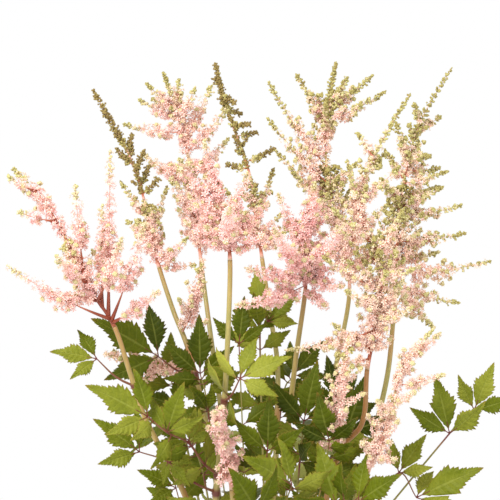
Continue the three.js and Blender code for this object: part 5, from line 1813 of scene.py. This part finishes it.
def make_leaf(node):
    """A compound leaf: its toothed blades in one piece, and its petiole with the leaflets' own in another."""
    youth = YOUTH.get(node, YOUTH_ELSEWHERE)
    leaf_share = leaf_rng.normal(0, LEAF_YOUTH_SPREAD)
    bm = bmesh.new()
    for name in BLADE_MARKS:
        bm.verts.layers.float.new(name)
    layers = {name: bm.verts.layers.float[name] for name in BLADE_MARKS}
    held = leaflets.get(node, [])
    for leaflet in held:
        own = leaf_rng.normal(0, LEAFLET_YOUTH_SPREAD)
        leaflet["youth"] = float(np.clip(youth + leaf_share + own, 0, 1))
        leaflet["phase"] = leaf_rng.uniform(*WAVE_PHASES)
        leaflet["rows"], leaflet["columns"] = BLADE_ROWS, BLADE_COLUMNS
    held = held + ([] if node in NO_PAIRS else list(pairs_on(node)))
    for leaflet in held:
        add_blade(bm, leaflet, layers)
    bmesh.ops.scale(bm, verts=bm.verts[:], vec=(MM, MM, MM))
    blades = mesh_of(f"{node}_blades", bm, smooth=True)
    blades.materials.append(leaf_material)
    stand_for(show(blades.name, blades), node)
    heap = Heap()
    rods = [petiole_rod(petiole) for petiole in petioles[node]]
    heap.add_rods(rods + [petiolule_rod(leaflet) for leaflet in held], 0, 1)
    add_piece(heap.finish(f"{node}_petiole", [petiole_material]))


# ---- Pot, soil and floor ----


def spun(name, profile, steps):
    """A profile of (radius, height) in millimetres, turned round the upright axis that its ends lie on."""
    bm = bmesh.new()
    line = [bm.verts.new((radius * MM, 0, height * MM)) for radius, height in profile]
    edges = [bm.edges.new(pair) for pair in zip(line, line[1:])]
    bmesh.ops.spin(bm, geom=line + edges, axis=(0, 0, 1), cent=(0, 0, 0), steps=steps, angle=2 * np.pi)
    bmesh.ops.remove_doubles(bm, verts=bm.verts[:], dist=1e-6)
    bmesh.ops.recalc_face_normals(bm, faces=bm.faces[:])
    return show(name, mesh_of(name, bm, smooth=True))


def apply_modifiers(piece):
    """A piece's modifiers become part of its mesh."""
    graph = bpy.context.evaluated_depsgraph_get()
    mesh = bpy.data.meshes.new_from_object(piece.evaluated_get(graph))
    piece.modifiers.clear()
    piece.data = mesh


def wall_radius(z):
    """The radius of the pot's wall at a height, without its lip."""
    return POT_BASE_RADIUS + (POT_TOP_RADIUS - POT_BASE_RADIUS) * z / POT_HEIGHT


def pot_profile():
    """The pot's section, from the middle of its underside round its wall to the middle of its floor."""
    base, top, edge, lip = POT_BASE_RADIUS, POT_HEIGHT, POT_EDGE, POT_LIP_DEPTH
    lip_bottom = top - POT_LIP_HEIGHT
    stepped, under_lip, brim = (wall_radius(z) for z in (POT_STEP_HEIGHT, lip_bottom, top))
    inside = brim - POT_WALL
    return [
        (0, POT_RECESS),
        (base - POT_FOOT_RING - 1, POT_RECESS),
        (base - POT_FOOT_RING, 0),
        (base - edge, 0),
        (base, edge),
        (stepped, POT_STEP_HEIGHT),
        (stepped + POT_STEP, POT_STEP_HEIGHT + 1),
        (under_lip + POT_CROOK[0], lip_bottom - POT_CROOK[1]),
        (under_lip + lip - edge, lip_bottom + POT_LIP_TURN[0]),
        (under_lip + lip, lip_bottom + POT_LIP_TURN[1]),
        (brim + lip, top - edge),
        (brim + lip - edge, top),
        (inside + POT_BRIM[0], top),
        (inside, top - POT_BRIM[1]),
        (wall_radius(POT_FLOOR) - POT_WALL, POT_FLOOR),
        (0, POT_FLOOR),
    ]


def make_drills():
    """Upright rods where the pot's drain holes are cut."""
    bm = bmesh.new()
    radius = POT_DRAIN_RADIUS * MM
    for i in range(POT_DRAINS):
        bearing = 2 * np.pi * i / POT_DRAINS
        at = Vector((np.cos(bearing), np.sin(bearing), 0)) * POT_DRAIN_RING * MM
        bmesh.ops.create_cone(
            bm, cap_ends=True, segments=DRAIN_SIDES, radius1=radius, radius2=radius,
            depth=POT_FLOOR * 4 * MM, matrix=Matrix.Translation(at),
        )
    return show("drains", mesh_of("drains", bm))


def make_pot():
    """A plain nursery pot with a lip and drain holes."""
    pot = spun("nursery_pot", pot_profile(), POT_SIDES)
    drills = make_drills()
    cut = pot.modifiers.new("drains", "BOOLEAN")
    cut.object, cut.operation, cut.solver = drills, "DIFFERENCE", "EXACT"
    pot.modifiers.new("corners", "EDGE_SPLIT").split_angle = np.radians(POT_SHARP)
    apply_modifiers(pot)
    bpy.data.objects.remove(drills)
    pot.data.materials.clear()
    pot.data.materials.append(pot_finish())
    stand_for(pot, "pot")


def soil_radius(z):
    """The soil's radius at a height, a little clear of the pot's wall."""
    return wall_radius(z) - POT_WALL - GAP * 2


def make_soil():
    """Compost with a lumpy top."""
    floor, inner = POT_FLOOR + GAP, soil_radius(SOIL_TOP)
    rings = [(inner * share, SOIL_TOP) for share in np.linspace(1, 0, SOIL_RINGS)]
    soil = spun("compost", [(0, floor), (soil_radius(floor), floor)] + rings, SOIL_SIDES)
    for vertex in soil.data.vertices:
        if vertex.co.z > (SOIL_TOP - 1) * MM:
            spot = Vector((vertex.co.x, vertex.co.y, 0))
            lumps = noise.fractal(spot * LUMP_SCALE, *LUMP_LAYERS) * LUMP_HEIGHT
            grain = noise.noise(spot * GRAIN_SCALE) * GRAIN_HEIGHT
            rim = np.clip((inner - spot.length / MM) / SOIL_RIM, 0, 1)
            vertex.co.z += ((lumps + grain) * rim - SOIL_SUNK) * MM
    soil.data.materials.append(soil_finish())
    stand_for(soil, "soil")


def make_crumbs():
    """Loose crumbs of bark on the soil."""
    bm = bmesh.new()
    for _ in range(CRUMBS):
        distance = soil_radius(SOIL_TOP) * CRUMB_RING * np.sqrt(rng.random())
        bearing = rng.uniform(0, 2 * np.pi)
        size = rng.uniform(*CRUMB_SIZES) * MM
        at = Vector((distance * np.cos(bearing) * MM, distance * np.sin(bearing) * MM, SOIL_TOP * MM))
        spin = Matrix.Rotation(rng.uniform(0, 6), 4, "Z")
        tilt = Matrix.Rotation(rng.uniform(-CRUMB_TILT, CRUMB_TILT), 4, "X")
        wide, high = size * rng.uniform(*CRUMB_WIDTHS), size * rng.uniform(*CRUMB_HEIGHTS)
        matrix = Matrix.Translation(at) @ spin @ tilt @ Matrix.Diagonal((size, wide, high, 1))
        bmesh.ops.create_icosphere(bm, subdivisions=1, radius=1, matrix=matrix)
    mesh = mesh_of("crumbs", bm)
    mesh.materials.append(soil_finish())
    add_piece(show("crumbs", mesh))


def make_floor():
    """The pale floor that the pot stands on."""
    floor = spun("floor", [(0, -FLOOR_DROP), (FLOOR_RADIUS, -FLOOR_DROP)], FLOOR_SIDES)
    finish = Finish("floor_paint", 0.8)
    finish.colour(FLOOR_PALE)
    floor.data.materials.append(finish.material)


# ---- Light and view ----


def make_world():
    """Even white light, with a white ground for the camera."""
    world = bpy.data.worlds.new("studio")
    world.use_nodes = True
    bpy.context.scene.world = world
    tree = world.node_tree
    shown = tree.nodes["Background"]
    shown.inputs["Color"].default_value = (1, 1, 1, 1)
    shown.inputs["Strength"].default_value = 1.0
    lit = tree.nodes.new("ShaderNodeBackground")
    lit.inputs["Color"].default_value = (*WORLD_TINT, 1)
    lit.inputs["Strength"].default_value = WORLD_LIGHT
    ray = tree.nodes.new("ShaderNodeLightPath")
    mix = tree.nodes.new("ShaderNodeMixShader")
    tree.links.new(ray.outputs["Is Camera Ray"], mix.inputs["Fac"])
    tree.links.new(lit.outputs["Background"], mix.inputs[1])
    tree.links.new(shown.outputs["Background"], mix.inputs[2])
    tree.links.new(mix.outputs["Shader"], tree.nodes["World Output"].inputs["Surface"])


def add_lamp(name, at, watts, size):
    """A square lamp that shines on the flowers."""
    light = bpy.data.lights.new(name, "AREA")
    light.energy, light.size = watts, size
    lamp = bpy.data.objects.new(name, light)
    lamp.location = at
    lamp.rotation_euler = (LOOKED_AT - Vector(at)).to_track_quat("-Z", "Y").to_euler()
    bpy.context.scene.collection.objects.link(lamp)


def add_camera():
    """A level camera in front of the flowers."""
    data = bpy.data.cameras.new("camera")
    data.lens, data.sensor_width = LENS, SENSOR
    camera = bpy.data.objects.new("camera", data)
    distance = FIELD * LENS / SENSOR
    camera.location = LOOKED_AT - Vector((0, distance, 0))
    camera.rotation_euler = (LOOKED_AT - camera.location).to_track_quat("-Z", "Y").to_euler()
    bpy.context.scene.collection.objects.link(camera)
    bpy.context.scene.camera = camera


# ---- The finished plant ----

rng = np.random.default_rng(SEED)
leaf_rng = np.random.default_rng(SEED + 1)
pair_rng = np.random.default_rng(SEED + 2)
flower_material, twig_material = flower_finish(), twig_finish()
stalk_material, petiole_material, leaf_material = stalk_finish(), petiole_finish(), leaf_finish()
open_floret = floret_template(OPEN_SPREAD, PETALS, STAMENS)
half_floret = floret_template(HALF_SPREAD, HALF_PETALS, STAMENS - 1)
bud, stem = bud_template(), stem_template()

for node in stalks:
    make_stalk(node)
for node in sprays:
    make_flowers(node)
for node in petioles:
    make_leaf(node)
make_pot()
make_soil()
make_crumbs()
make_floor()

make_world()
add_lamp("key", **KEY_LAMP)
add_lamp("fill", **FILL_LAMP)
add_camera()
bpy.context.scene.view_settings.view_transform = "Standard"
